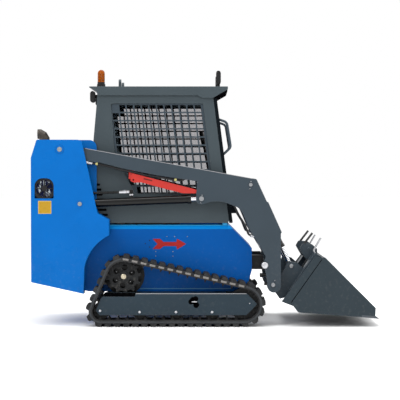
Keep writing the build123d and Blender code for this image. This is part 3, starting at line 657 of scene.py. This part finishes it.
def on_line(start, run, distance, rise=0.0):
    """x and z at a distance along a line in the side view, and at a rise over it."""
    return (start[0] + run[0] * distance - run[1] * rise, start[1] + run[1] * distance + run[0] * rise)


def rectangle(x_low, x_high, z_low, z_high):
    """Outline, as x and z of each corner."""
    return ((x_low, z_low), (x_high, z_low), (x_high, z_high), (x_low, z_high))


def rounded_box(x_low, x_high, z_low, z_high, radius):
    """Outline of a rectangle with round corners."""
    steps = 6
    points = []
    for x, z, start in (
        (x_high - radius, z_high - radius, 0),
        (x_low + radius, z_high - radius, 90),
        (x_low + radius, z_low + radius, 180),
        (x_high - radius, z_low + radius, 270),
    ):
        for step in range(steps + 1):
            corner = around(x, 0, z, radius, start + 90 * step / steps)
            points.append((corner[0], corner[2]))
    return points


def disc(x, z, radius, steps=20):
    """Outline of a round plate."""
    angles = [2 * math.pi * step / steps for step in range(steps)]
    return [(x + radius * math.cos(angle), z + radius * math.sin(angle)) for angle in angles]


# Makers: each returns a function that fills a mesh with the same thing on both sides.


def plates(rows, bevel=0.0):
    """Flat plates; rows are outline, inner y and outer y."""
    def make(bm):
        for outline, inner, outer in rows:
            for side in SIDES:
                near, far = sorted((side * inner, side * outer))
                slab(bm, outline, near, far, bevel)
    return make


def domes(rows, y):
    """Round heads at y from the middle plane; rows are x, z, radius and height."""
    def make(bm):
        for x, z, radius, height in rows:
            for side in SIDES:
                dome(bm, (x, side * y, z), out(side), radius, height)
    return make


def bolts(rows, washer=True):
    """Hexagon bolts; rows are x, y, z and size."""
    def make(bm):
        for x, y, z, size in rows:
            for side in SIDES:
                hex_bolt(bm, (x, side * y, z), out(side), size, washer)
    return make


def fittings(rows, profile, segments=16):
    """Turned pieces; rows are y and the x and z of start and end.

    profile rows are the radius and the part of the way.
    """
    def make(bm):
        for y, start, end in rows:
            for side in SIDES:
                first, last = (Vector((x, side * y, z)) for x, z in (start, end))
                run = last - first
                rows_along = [(radius, part * run.length) for radius, part in profile]
                turned(bm, first, run, rows_along, segments)
    return make


def together(*makers):
    """One maker of what several make."""
    def make(bm):
        for maker in makers:
            maker(bm)
    return make


# Undercarriage and lower frame.

HUB_X, HUB_Z, _ = WHEELS[0]

# Round heads: radius and height.
PLATE_BOLT = (0.0115, 0.007)
PLATE_PLUG = (0.005, 0.003)
RIVET = (0.0045, 0.0025)
HOLE_PLUG = (0.005, 0.002)
MOTOR_BOLT = (0.008, 0.005)
STOP_HEAD = (0.026, 0.006)
EAR_PIN = (0.017, 0.003)
KEEPER = (0.0055, 0.007)
NUT_DOT = (0.0045, 0.003)

# Where they are: x and z.
PLATE_BOLTS = ((-0.826, 0.124), (-0.514, 0.1135), (-0.226, 0.1135), (0.060, 0.1135))
PLATE_PLUGS = ((0.357, 0.183),)
TUB_RIVETS = (
    (-0.137, 0.702), (-0.240, 0.702), (-0.302, 0.702), (-0.392, 0.581),
    (-0.254, 0.581), (-0.392, 0.545), (-0.254, 0.545),
)
TUB_HOLES = ((-0.476, 0.646), (-0.442, 0.671), (-0.442, 0.618))
STOP_PINS = ((0.480, 0.478),)
TILT_BASE = (0.368, 1.120)
TILT_PIN = (0.696, 0.468)
KEEPERS = ((0.370, 1.146), (0.362, 1.089), (0.560, 0.357), (-0.019, 1.036), (-0.030, 0.976))

MOTOR_ANGLES = (24, 150, 210, 318)
MOTOR_RING = 0.068

# Rings of bolts round the sprocket's axis: how many, angle of the first, radius, y and size.
HUB_RING = (9, 10, 0.032, HUB_FACE, 0.008)
OUTER_RING = (10, 18, 0.143, RING_FACE, 0.016)

# The nut's profile: radius and distance outwards.
HUB_NUT = ((0.021, 0), (0.021, 0.004), (0.016, 0.006), (0.016, 0.016))
NUT_RING = 0.012

NIPPLE = ((0.0035, 0), (0.0055, 0.1), (0.0055, 0.5), (0.004, 0.6), (0.004, 0.9), (0.002, 1))
NIPPLES = ((PLATE_FACE + 0.004, (-0.060, 0.196), (-0.102, 0.196)),)

# The three-lobed access hole of the frame plate and its middle: x, z, radius.
ACCESS_DISCS = (
    (-0.107, 0.196, 0.021), (-0.070, 0.219, 0.021), (-0.067, 0.168, 0.021), (-0.080, 0.194, 0.020),
)


def heads(places, kind):
    """Rows for domes, from places and one kind of head."""
    return [(*place, *kind) for place in places]


def bolt_ring(count, first, radius, y, size):
    """Rows for bolts, round the sprocket's axis."""
    angles = (first + 360 / count * index for index in range(count))
    return [(*around(HUB_X, y, HUB_Z, radius, angle), size) for angle in angles]


FRAME_HEADS = heads(PLATE_BOLTS, PLATE_BOLT) + heads(PLATE_PLUGS, PLATE_PLUG)
SPROCKET_BOLTS = together(bolts(bolt_ring(*HUB_RING), washer=False), bolts(bolt_ring(*OUTER_RING)))


def hub_nuts(bm):
    """Castle nut in the middle of each sprocket."""
    for side in SIDES:
        turned(bm, (HUB_X, side * HUB_FACE, HUB_Z), out(side), HUB_NUT, 12)
        for index in range(6):
            tip = around(HUB_X, side * (HUB_FACE + HUB_NUT[-1][1]), HUB_Z, NUT_RING, 60 * index)
            dome(bm, tip, out(side), *NUT_DOT)


def motor_bolts(bm):
    """Bright bolt heads on the drive motors, seen through the openings of the sprockets."""
    for side in SIDES:
        for angle in MOTOR_ANGLES:
            dome(bm, around(HUB_X, side * MOTOR_FACE, HUB_Z, MOTOR_RING, angle), out(side), *MOTOR_BOLT)


# Tracks: the belt runs over each wheel and then straight on to the next.


def run_angles():
    """Outward angle of the belt's straight run from each wheel to the next."""
    angles = []
    for (x0, z0, r0), (x1, z1, r1) in zip(WHEELS, WHEELS[1:] + WHEELS[:1]):
        lean = math.asin((r0 - r1) / math.hypot(x1 - x0, z1 - z0))
        angles.append(math.atan2(z1 - z0, x1 - x0) - lean + math.pi / 2)
    return angles


RUNS = run_angles()


def belt_lengths():
    """Length of the arc on each wheel and of the straight run after it."""
    lengths = []
    for index, (x, z, radius) in enumerate(WHEELS):
        turn = (RUNS[index - 1] - RUNS[index]) % (2 * math.pi)
        x1, z1, r1 = WHEELS[(index + 1) % len(WHEELS)]
        run = math.sqrt((x1 - x) ** 2 + (z1 - z) ** 2 - (radius - r1) ** 2)
        lengths.append((turn * radius, run))
    return lengths


LENGTHS = belt_lengths()
BELT = sum(arc + run for arc, run in LENGTHS)
PITCH = BELT / LINKS


def belt_place(travel, growth=0.0):
    """Point at some height over the belt's pitch line, and its outward angle."""
    travel %= BELT
    for index, (arc, run) in enumerate(LENGTHS):
        x, z, radius = WHEELS[index]
        reach = radius + growth
        if travel <= arc:
            angle = RUNS[index - 1] - travel / radius
            return Vector((x + reach * math.cos(angle), 0, z + reach * math.sin(angle))), angle
        travel -= arc
        if travel <= run:
            angle = RUNS[index]
            start = Vector((math.cos(angle), 0, math.sin(angle))) * reach
            along = Vector((math.sin(angle), 0, -math.cos(angle))) * travel
            return Vector((x, 0, z)) + start + along, angle
        travel -= run


def loft(bm, rings):
    """A closed solid through rings of as many points each."""
    for first, second in zip(rings, rings[1:]):
        for index in range(len(first)):
            following = (index + 1) % len(first)
            bm.faces.new((first[index], first[following], second[following], second[index]))
    bm.faces.new(rings[0])
    bm.faces.new(list(reversed(rings[-1])))


# Beads on the belt's edges; BEAD_MIDDLE is over the pitch line.
BEAD_STEPS = 6
BEAD_CORNERS = 8
BEAD_MIDDLE = 0.003
BEAD_HALF = 0.0085
BEAD_REACH = 0.0055
BEAD_SUNK = 0.0005


def edge_beads(bm, links, start, length, least):
    """Beads moulded on both edges of each track; start and length are parts of a link.

    least is how much of the bead's reach is left at its ends.
    """
    for side in SIDES:
        for edge in (-1, 1):
            face = side * TRACK_MIDDLE + edge * TRACK_HALF
            for link in links:
                rings = []
                for step in range(BEAD_STEPS + 1):
                    part = step / BEAD_STEPS
                    swell = least + (1 - least) * math.sin(math.pi * part) ** 0.5
                    ring = []
                    for corner in range(BEAD_CORNERS):
                        angle = math.pi * corner / (BEAD_CORNERS - 1)
                        growth = BEAD_MIDDLE + BEAD_HALF * math.cos(angle)
                        at, _ = belt_place((link + start + length * part) * PITCH, growth)
                        reach = BEAD_REACH * math.sin(angle) * swell - BEAD_SUNK
                        ring.append(bm.verts.new((at.x, face + edge * reach, at.z)))
                    rings.append(ring)
                loft(bm, rings)


def upper_links():
    """Links on the belt's straight run from the sprocket to the front idler."""
    lean = [belt_place((link + 0.5) * PITCH)[1] - RUNS[0] for link in range(LINKS)]
    return [link for link in range(LINKS) if abs(lean[link]) < 0.15]


UPPER = upper_links()


def track_bars(bm):
    """Separate bars along the upper run, in a light rubber colour that paints the highlight on their
    rounded tops.
    """
    edge_beads(bm, UPPER, 0.18, 0.64, 0.35)


def track_beads(bm):
    """Plain bead round the wheels and along the ground."""
    edge_beads(bm, [link for link in range(LINKS) if link not in UPPER], 0.0, 1.0, 1.0)


# A lug's section: place along the belt and height over the pitch line.
LUG_SECTION = ((-0.027, 0.012), (0.027, 0.012), (0.0205, 0.0368), (-0.0205, 0.0368))
# The three blocks of a lug: shift along the belt, and from where to where across it.
LUG_BLOCKS = ((-0.004, -0.1148, -0.038), (0.0, -0.036, 0.036), (0.004, 0.038, 0.1148))


def track_tread(bm):
    """Broad rubber lugs on both tracks, moulded over the model's own, each in three blocks."""
    for side in SIDES:
        for link in range(LINKS):
            for shift, low, high in LUG_BLOCKS:
                ends = []
                for y in (low, high):
                    ring = []
                    for along, growth in LUG_SECTION:
                        at, angle = belt_place((link + 0.5) * PITCH, growth)
                        run = Vector((math.sin(angle), 0, -math.cos(angle))) * (along + shift)
                        ring.append(bm.verts.new((at.x + run.x, side * (TRACK_MIDDLE + y), at.z + run.z)))
                    ends.append(ring)
                loft(bm, ends)


# Arms, cylinders and hoses.

# Dimples in the ends of the arms' pins: x, z, radius, y.
PIN_DIMPLES = ((0.368, 1.120, 0.015, 0.496), (0.546, 0.323, 0.0165, 0.498))


def pin_dimples(bm):
    """Turned faces with a dimple on the ends of the pins of the arms."""
    for x, z, radius, y in PIN_DIMPLES:
        rim, lip = radius * 0.4, radius * 0.3
        profile = ((radius, 0), (radius * 0.9, 0.002), (rim, 0.002), (lip, 0.0008), (0, 0.0008))
        for side in SIDES:
            turned(bm, (x, side * y, z), out(side), profile)


PIN_DETAILS = together(pin_dimples, domes(heads(KEEPERS, KEEPER), ARM_FACE))

# Axes of the cylinders in the side view, and rises over the lift barrel's.
TILT_RUN = Vector((TILT_PIN[0] - TILT_BASE[0], TILT_PIN[1] - TILT_BASE[1])).normalized()
BARREL_BASE = (-0.990, 0.968)
BARREL_RUN = (0.9991005, 0.0424049)
PIPE_RISE = 0.079
CLAMP_RISE = 0.055

# Profiles of fittings: radius and part of the way.
BAND = ((0.0162, 0), (0.0162, 1))
COLLAR = ((0.0095, 0), (0.0125, 0.05), (0.0125, 0.4), (0.0105, 0.45), (0.0105, 0.95), (0.009, 1))
SLEEVE = ((0.0098, 0), (0.0112, 0.05), (0.0112, 0.95), (0.0098, 1))
GUARD_TURN = ((0.0095, 0), (0.0108, 0.2), (0.0108, 0.8), (0.0095, 1))
SWAGE = (
    (0.0105, 0), (0.0125, 0.04), (0.0125, 0.38), (0.0150, 0.42), (0.0150, 0.70), (0.0115, 0.74),
    (0.0115, 1),
)

# Ends of the hoses, where they leave the towers and where they meet the arm's drop.
HOSE_ENDS = (
    *((y, (-0.945, 1.2965), (-0.893, 1.2895)) for y in (0.420, 0.480)),
    *((y, (0.366, 0.717), (0.398, 0.708)) for y in (0.426, 0.450, 0.474)),
)
HOSE_TAGS = (
    (0.480, (-0.868, 1.2868), (-0.850, 1.2858)),
    (0.480, (-0.240, 1.1597), (-0.222, 1.1579)),
)


def on_tilt_rod(distance):
    """x and z on the tilt cylinder's axis."""
    return on_line(TILT_BASE, TILT_RUN, distance)


def on_pipe(distance, rise=PIPE_RISE):
    """x and z on the pipe over the lift barrel, or at another rise."""
    return on_line(BARREL_BASE, BARREL_RUN, distance, rise)


# Turns round a rod or pipe: y, place along it, how many, start of the first, pitch and width.
ROD_BANDS = (TILT_Y, on_tilt_rod, 10, 0.574, 0.0125, 0.0045)
PIPE_TURNS = (LIFT_Y, on_pipe, 8, 0.118, 0.0225, 0.006)


def turns(y, place, count, first, pitch, width):
    """Rows for fittings, one after the other along a rod or pipe."""
    starts = (first + pitch * index for index in range(count))
    return [(y, place(start), place(start + width)) for start in starts]


PIPE_END = ((LIFT_Y, on_pipe(0.312), on_pipe(0.394)),)


def clamp_bolts():
    """Rows for the bolts of the clamps on the lift barrels."""
    rows = []
    for distance in (0.096, 0.409):
        for drop in (-0.008, 0.008):
            x, z = on_pipe(distance + drop, CLAMP_RISE)
            rows.append((x, CLAMP_FACE, z, 0.009))
    return rows


# Cab, towers and bucket.

# Inner y and outer y.
GLASS_Y = (0.3525, 0.3565)
LOUVRE_Y = (CAB_FACE - 0.004, CAB_FACE + 0.0002)
LIP_Y = (0.0, 0.388)
RIB_Y = (0.590, 0.5985)

# Louvres in the cab's rear corner: how many, and how much longer and lower each is than the last.
LOUVRES = 7
LOUVRE_GROWTH = 0.0105
LOUVRE_PITCH = 0.0405


def louvre(row):
    """Outline of one louvre, counted from the top."""
    drop = LOUVRE_PITCH * row
    return rounded_box(-0.884, -0.839 + LOUVRE_GROWTH * row, 1.111 - drop, 1.129 - drop, 0.0088)


# The louvres are near-black plates: painted shade in their slots.
CAB_LOUVRES = plates([(louvre(row), *LOUVRE_Y) for row in range(LOUVRES)])

# Outlines: x and z of each corner.
LABEL = rectangle(-1.320, -1.216, 0.890, 0.992)
LABEL_FIELD = rectangle(-1.315, -1.221, 0.895, 0.987)
CAB_WINDOW = ((-0.752, 1.772), (-0.012, 1.772), (0.076, 1.048), (-0.560, 1.048), (-0.722, 1.372))
# Near-black visor lip: painted shade under the roof's visor.
VISOR_LIP = ((0.070, 1.8165), (0.184, 1.883), (0.185, 1.872), (0.078, 1.8105))
BUCKET_RIB = ((0.710, 0.160), (0.929, 0.545), (0.875, 0.556), (0.609, 0.203), (0.615, 0.196))
# Dark line along the bucket rib's edge: painted shade of its step.
BUCKET_RIB_SHADE_LINE = ((0.6845, 0.190), (0.9265, 0.530), (0.9230, 0.5325), (0.6810, 0.1925))
# Thin painted highlight strip along the frame plate's top edge.
PLATE_RIM_GLINT = ((-0.542, 0.2625), (0.330, 0.2625), (0.334, 0.2572), (-0.543, 0.2572))
# Near-black film over the frame plate's recess: painted shade behind the sprocket.
PLATE_RECESS = rectangle(-0.792, -0.549, 0.230, 0.2675)
# Strip on the tub's low fold line, in a painted highlight colour.
LOW_FOLD_HIGHLIGHT = rectangle(-0.520, 0.215, 0.2805, 0.2885)
# Brace slot, drawn as a darker red film of painted shade.
BRACE_SLOT = ((-0.483, 1.1735), (-0.416, 1.1575), (-0.419, 1.1470), (-0.486, 1.1630))
# Near-black disc in the brace's hole: painted shade.
BRACE_HOLE = disc(-0.567, 1.1585, 0.007)
# Fan opening, covered by a sheet of painted shade with painted glints.
FAN_OPENING = disc(-1.273, 1.090, 0.091, 32)
# Thin painted highlight strip along the arm's top edge.
ARM_EDGE_GLINT = ((-0.948, 1.4107), (0.380, 1.1711), (0.380, 1.1668), (-0.948, 1.4064))
# The arrow, from the top of its tail.
ARROW = (
    (-0.416, 0.684), (-0.357, 0.684), (-0.329, 0.659), (-0.226, 0.659), (-0.221, 0.685),
    (-0.148, 0.643), (-0.220, 0.599), (-0.226, 0.626), (-0.329, 0.626), (-0.357, 0.602),
    (-0.416, 0.602), (-0.378, 0.643),
)


def film(outline, face, thickness, sunk=0.0):
    """A maker of thin plates on a face."""
    return plates([(outline, face - sunk, face + thickness)])


# Near-black discs over the three-lobed access hole: painted shade.
ACCESS_HOLE_SHADES = [film(disc(*row), PLATE_FACE, 0.0006, 0.001) for row in ACCESS_DISCS]

# The beacon's glass.
BEACON_FOOT = (-0.835, -0.300, 1.9465)
FLUTES = 12
FLUTE_PITCH = 0.006
BEACON_RADIUS = 0.0290
BEACON_SHOULDER = 0.074
BEACON_RISE = 0.027


def beacon_dome(bm):
    """Amber beacon: a fluted glass with a domed top."""
    rows = [(0.0296, 0.0)]
    for ring in range(FLUTES):
        rows += [(0.0302, 0.002 + ring * FLUTE_PITCH), (0.0286, 0.005 + ring * FLUTE_PITCH)]
    for step in range(1, 7):
        angle = step / 7 * math.pi / 2
        rows.append((BEACON_RADIUS * math.cos(angle), BEACON_SHOULDER + BEACON_RISE * math.sin(angle)))
    rows.append((0.0, BEACON_SHOULDER + BEACON_RISE))
    turned(bm, BEACON_FOOT, (0, 0, 1), rows, 32)


# Lamps: inner y and outer y.
LAMP_ACROSS = (0.252, 0.348)
GLASS_ACROSS = (0.262, 0.338)
STEM_ACROSS = (0.286, 0.314)
STEM_BOLT_Y = 0.315


def lamp(x_low, x_high, z_low, z_high, facing, bevel):
    """Makers of a rounded lamp housing and of its glass, on the side that faces along x."""
    middle, half = (z_low + z_high) / 2, (z_high - z_low) * 0.33
    face = x_high if facing > 0 else x_low
    glass_low, glass_high = sorted((face - facing * 0.010, face + facing * 0.0015))
    housing = rounded_box(x_low, x_high, z_low, z_high, (x_high - x_low) * 0.49)
    window = rounded_box(glass_low, glass_high, middle - half, middle + half, 0.004)
    return plates([(housing, *LAMP_ACROSS)], bevel), plates([(window, *GLASS_ACROSS)], 0.002)


# Low and high x, low and high z, the way it faces, bevel.
FRONT_LAMP, FRONT_GLASS = lamp(0.094, 0.131, 1.928, 2.038, 1, 0.006)
REAR_LAMP, REAR_GLASS = lamp(-0.921, -0.884, 1.782, 1.874, -1, 0.003)
LAMP_BRACKETS = together(
    plates([
        (rounded_box(0.106, 0.122, 1.9075, 1.945, 0.003), *STEM_ACROSS),
        (rectangle(-0.900, -0.8555, 1.815, 1.845), *STEM_ACROSS),
    ]),
    bolts([(0.114, STEM_BOLT_Y, 1.920, 0.010), (-0.874, STEM_BOLT_Y, 1.830, 0.010)]),
)

# Seat pads: how much smaller they start than their solids, and how far the cloth may move.
PAD_SHRINK = 0.012
PAD_CAP = 0.014
# Their sewn channels: axis, place as a part of the size, half width and depth.
SIDE_CHANNELS = ((1, -0.28, 0.010, 0.08), (1, 0.28, 0.010, 0.08))
CUSHION_CHANNELS = ((0, 0.0, 0.010, 0.10), *SIDE_CHANNELS)
BACK_CHANNELS = ((2, 0.05, 0.010, 0.12), *SIDE_CHANNELS)


def stitched_pad(name, node, channels, crown):
    """A seat pad, thin along crown, blown up by cloth inside its solid and then creased at its seams."""
    low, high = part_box(node)
    centre, size = (low + high) / 2, (high - low) - Vector((2 * PAD_SHRINK,) * 3)
    bm = bmesh.new()
    bmesh.ops.create_cube(bm, size=1.0)
    bmesh.ops.scale(bm, vec=size, verts=bm.verts)
    rounding = min(size) * 0.32
    bmesh.ops.bevel(bm, geom=bm.edges[:], offset=rounding, segments=5, affect="EDGES", profile=0.6)
    bmesh.ops.translate(bm, vec=centre, verts=bm.verts)
    pad = mesh_object(name, bm)
    bpy.context.view_layer.objects.active = pad
    remesh = pad.modifiers.new("even", "REMESH")
    remesh.mode = "VOXEL"
    remesh.voxel_size = 0.007
    apply_modifiers(pad)
    inflate(pad)
    for vertex in pad.data.vertices:
        crease = 0.0
        for axis, at, wide, deep in channels:
            gap = abs(vertex.co[axis] - (centre[axis] + at * size[axis]))
            crease = max(crease, deep * math.exp(-((gap / wide) ** 2)))
        pull = vertex.co - centre
        pull[crown] *= 1 - crease
        vertex.co = centre + pull
    smooth = pad.modifiers.new("smooth", "SUBSURF")
    smooth.levels = smooth.render_levels = 1
    pad.data.materials.clear()
    pad.data.materials.append(MATERIALS["vinyl"])
    pad.data.shade_smooth()
    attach(pad, "chassis")
    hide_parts(node)
    return pad


def apply_modifiers(obj):
    """Turn an object's modifiers into its mesh."""
    graph = bpy.context.evaluated_depsgraph_get()
    mesh = bpy.data.meshes.new_from_object(obj.evaluated_get(graph))
    obj.modifiers.clear()
    obj.data = mesh


def inflate(pad):
    """Cloth under pressure with no gravity; no point moves further than PAD_CAP."""
    start = [vertex.co.copy() for vertex in pad.data.vertices]
    cloth = pad.modifiers.new("cloth", "CLOTH")
    cloth.settings.use_pressure = True
    cloth.settings.uniform_pressure_force = 4.0
    cloth.settings.effector_weights.gravity = 0.0
    cloth.settings.quality = 5
    scene = bpy.context.scene
    for step in range(1, 21):
        scene.frame_set(step)
    apply_modifiers(pad)
    scene.frame_set(1)
    for vertex, first in zip(pad.data.vertices, start):
        move = vertex.co - first
        if move.length > PAD_CAP:
            vertex.co = first + move.normalized() * PAD_CAP


# Lamps of the studio: name, place, size and power; all point at LAMPS_AIM.
LAMPS = (
    ("key", (-4.0, -5.5, 5.5), 3.0, 200.0),
    ("fill", (5.0, -5.5, 2.5), 4.0, 60.0),
    ("top", (0.0, -0.6, 6.5), 4.0, 240.0),
    ("back", (-3.0, 6.0, 4.5), 4.0, 100.0),
    ("front", (6.5, 1.5, 3.5), 4.0, 150.0),
)
LAMPS_AIM = Vector((0, 0, 0.9))
# The backdrop is white where it is seen, and this much stronger as light.
WORLD_LIGHT = 1.12
FLOOR_HALF = 60.0


def add_world(scene):
    """White backdrop, plain to the camera, through glass and in reflections."""
    world = bpy.data.worlds.new("studio")
    scene.world = world
    world.use_nodes = True
    tree = world.node_tree
    background = tree.nodes["Background"]
    background.inputs["Color"].default_value = (1.0, 1.0, 1.0, 1.0)
    path = tree.nodes.new("ShaderNodeLightPath")
    seen = path.outputs["Is Camera Ray"]
    for ray in ("Is Transmission Ray", "Is Glossy Ray"):
        either = tree.nodes.new("ShaderNodeMath")
        either.operation = "MAXIMUM"
        tree.links.new(seen, either.inputs[0])
        tree.links.new(path.outputs[ray], either.inputs[1])
        seen = either.outputs["Value"]
    strength = tree.nodes.new("ShaderNodeMapRange")
    strength.inputs["To Min"].default_value = WORLD_LIGHT
    strength.inputs["To Max"].default_value = 1.0
    tree.links.new(seen, strength.inputs["Value"])
    tree.links.new(strength.outputs["Result"], background.inputs["Strength"])


def add_floor():
    """Pale floor, far wider than the view."""
    bm = bmesh.new()
    bmesh.ops.create_grid(bm, x_segments=1, y_segments=1, size=FLOOR_HALF)
    floor = mesh_object("floor", bm)
    s = Shader("studio_floor")
    speck = s.spread(s.noise(3.0, 3.0))
    colour = s.mix(speck, (0.90, 0.90, 0.90, 1.0), (0.92, 0.92, 0.92, 1.0))
    rough = s.ramp(speck, 0.0, 1.0, 0.8, 0.9)
    floor.data.materials.append(s.finish(colour, rough, s.bump(speck, 0.0001, 0.1)))


def add_object(scene, name, data, at, turn):
    """A lamp or camera at its place."""
    made = bpy.data.objects.new(name, data)
    made.location = at
    made.rotation_euler = turn
    scene.collection.objects.link(made)
    return made


def studio():
    """Pale floor and backdrop, soft lamps and the camera at the photo's angle."""
    scene = bpy.context.scene
    scene.view_settings.view_transform = "Standard"
    add_world(scene)
    add_floor()
    for name, at, size, power in LAMPS:
        area = bpy.data.lights.new(name, "AREA")
        area.size = size
        area.energy = power
        add_object(scene, name, area, at, (LAMPS_AIM - Vector(at)).to_track_quat("-Z", "Y").to_euler())

    camera = bpy.data.cameras.new("camera")
    camera.sensor_width = SENSOR
    camera.lens = SENSOR * (NEAR_SIDE - CAMERA_AT[1]) / VIEW_WIDTH
    camera.shift_x, camera.shift_y = FRAME_SHIFT
    camera.clip_end = 200.0
    scene.camera = add_object(scene, "camera", camera, CAMERA_AT, (math.pi / 2, 0, 0))


dress_nodes()
studio()

# Pieces by body: name, what makes it, material, slot of the record.
PIECES = {
    "chassis": (
        ("frame_plate_bolts", domes(FRAME_HEADS, PLATE_FACE), "steel", "pin_steel"),
        ("hub_nuts", hub_nuts, "brass", "pin_steel"),
        ("sprocket_bolts", SPROCKET_BOLTS, "black", "black_steel"),
        ("motor_bolts", motor_bolts, "steel", "pin_steel"),
        ("track_bars", track_bars, "lit_shoulder", "track_rubber"),
        ("track_beads", track_beads, "bead", "track_rubber"),
        ("track_tread", track_tread, "track", "track_rubber"),
        ("plate_rim_glint", film(PLATE_RIM_GLINT, PLATE_FACE, 0.001, 0.001), "glint", "grey_paint"),
        ("plate_recess_shade", film(PLATE_RECESS, RECESS_FACE, 0.0012, 0.0005), "painted_shade", "black_steel"),
        ("access_hole_shades", together(*ACCESS_HOLE_SHADES), "painted_shade", "soft_rubber"),
        ("grease_nipples", fittings(NIPPLES, NIPPLE), "steel", "pin_steel"),
        ("tub_rivets", domes(heads(TUB_RIVETS, RIVET), TUB_FACE), "pin", "pin_steel"),
        ("tub_plugs", domes(heads(TUB_HOLES, HOLE_PLUG), TUB_FACE), "plastic", "black_plastic"),
        ("tub_fold_highlight", film(LOW_FOLD_HIGHLIGHT, TUB_FACE, 0.002, 0.001), "fold_shading", "blue_paint"),
        ("direction_arrow", film(ARROW, TUB_FACE, 0.0006), "arrow", "red_paint"),
        ("vent_shade_films", film(FAN_OPENING, FAN_FACE, 0.004), "core", "radiator_aluminium"),
        ("label_border", film(LABEL, TOWER_FACE, 0.0005), "border", "soft_rubber"),
        ("blank_labels", film(LABEL_FIELD, TOWER_FACE, 0.0008), "yellow", "soft_rubber"),
        ("cab_louvres", CAB_LOUVRES, "painted_shade", "black_steel"),
        ("side_glass", plates([(CAB_WINDOW, *GLASS_Y)]), "tinted", "window_glass"),
        ("visor_lip", plates([(VISOR_LIP, *LIP_Y)]), "painted_shade", "soft_rubber"),
        ("front_lamps", FRONT_LAMP, "plastic", "black_plastic"),
        ("front_lamp_lenses", FRONT_GLASS, "clear_lens", "window_glass"),
        ("rear_lamps", REAR_LAMP, "plastic", "black_plastic"),
        ("rear_lamp_lenses", REAR_GLASS, "clear_lens", "window_glass"),
        ("lamp_brackets", LAMP_BRACKETS, "plastic", "black_plastic"),
        ("beacon_dome", beacon_dome, "amber", "amber_lens"),
    ),
    "lift_arms": (
        ("pin_details", PIN_DETAILS, "pin", "pin_steel"),
        ("stop_domes", domes(heads(STOP_PINS, STOP_HEAD), STOP_FACE), "steel", "pin_steel"),
        ("arm_edge_glint", film(ARM_EDGE_GLINT, ARM_FACE, 0.0009, 0.0005), "glint", "grey_paint"),
        ("brace_hole", film(BRACE_HOLE, BRACE_FACE, 0.0015), "painted_shade", "red_paint"),
        ("brace_slot", film(BRACE_SLOT, BRACE_FACE, 0.0015), "slot_shade", "red_paint"),
        ("hose_collars", fittings(HOSE_ENDS, COLLAR), "steel", "pin_steel"),
        ("hose_tags", fittings(HOSE_TAGS, SLEEVE), "tag", "soft_rubber"),
    ),
    "tilt_pistons": (
        ("rod_bands", fittings(turns(*ROD_BANDS), BAND, 24), "black", "rod_chrome"),
    ),
    "lift_cylinders": (
        ("pipe_hardware", fittings(PIPE_END, SWAGE, 6), "steel", "pin_steel"),
        ("pipe_guard", fittings(turns(*PIPE_TURNS), GUARD_TURN), "black", "black_steel"),
        ("barrel_hardware", bolts(clamp_bolts()), "steel", "pin_steel"),
    ),
    "bucket_carrier": (
        ("ear_pins", domes(heads([TILT_PIN], EAR_PIN), EAR_FACE), "pin", "pin_steel"),
        ("bucket_ribs", plates([(BUCKET_RIB, *RIB_Y)]), "bucket", "bucket_paint"),
        ("bucket_rib_shade_lines", film(BUCKET_RIB_SHADE_LINE, BUCKET_FACE, 0.0010, 0.0025), "painted_shade", "bucket_paint"),
    ),
}

made = {
    name: piece(name, maker, look, body)
    for body, rows in PIECES.items() for name, maker, look, slot in rows
}
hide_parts("work_lamps")
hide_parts("beacon_lens")

stitched_pad("seat_cushion_pad", "seat_cushion", CUSHION_CHANNELS, 2)
stitched_pad("seat_back_pad", "seat_back", BACK_CHANNELS, 0)
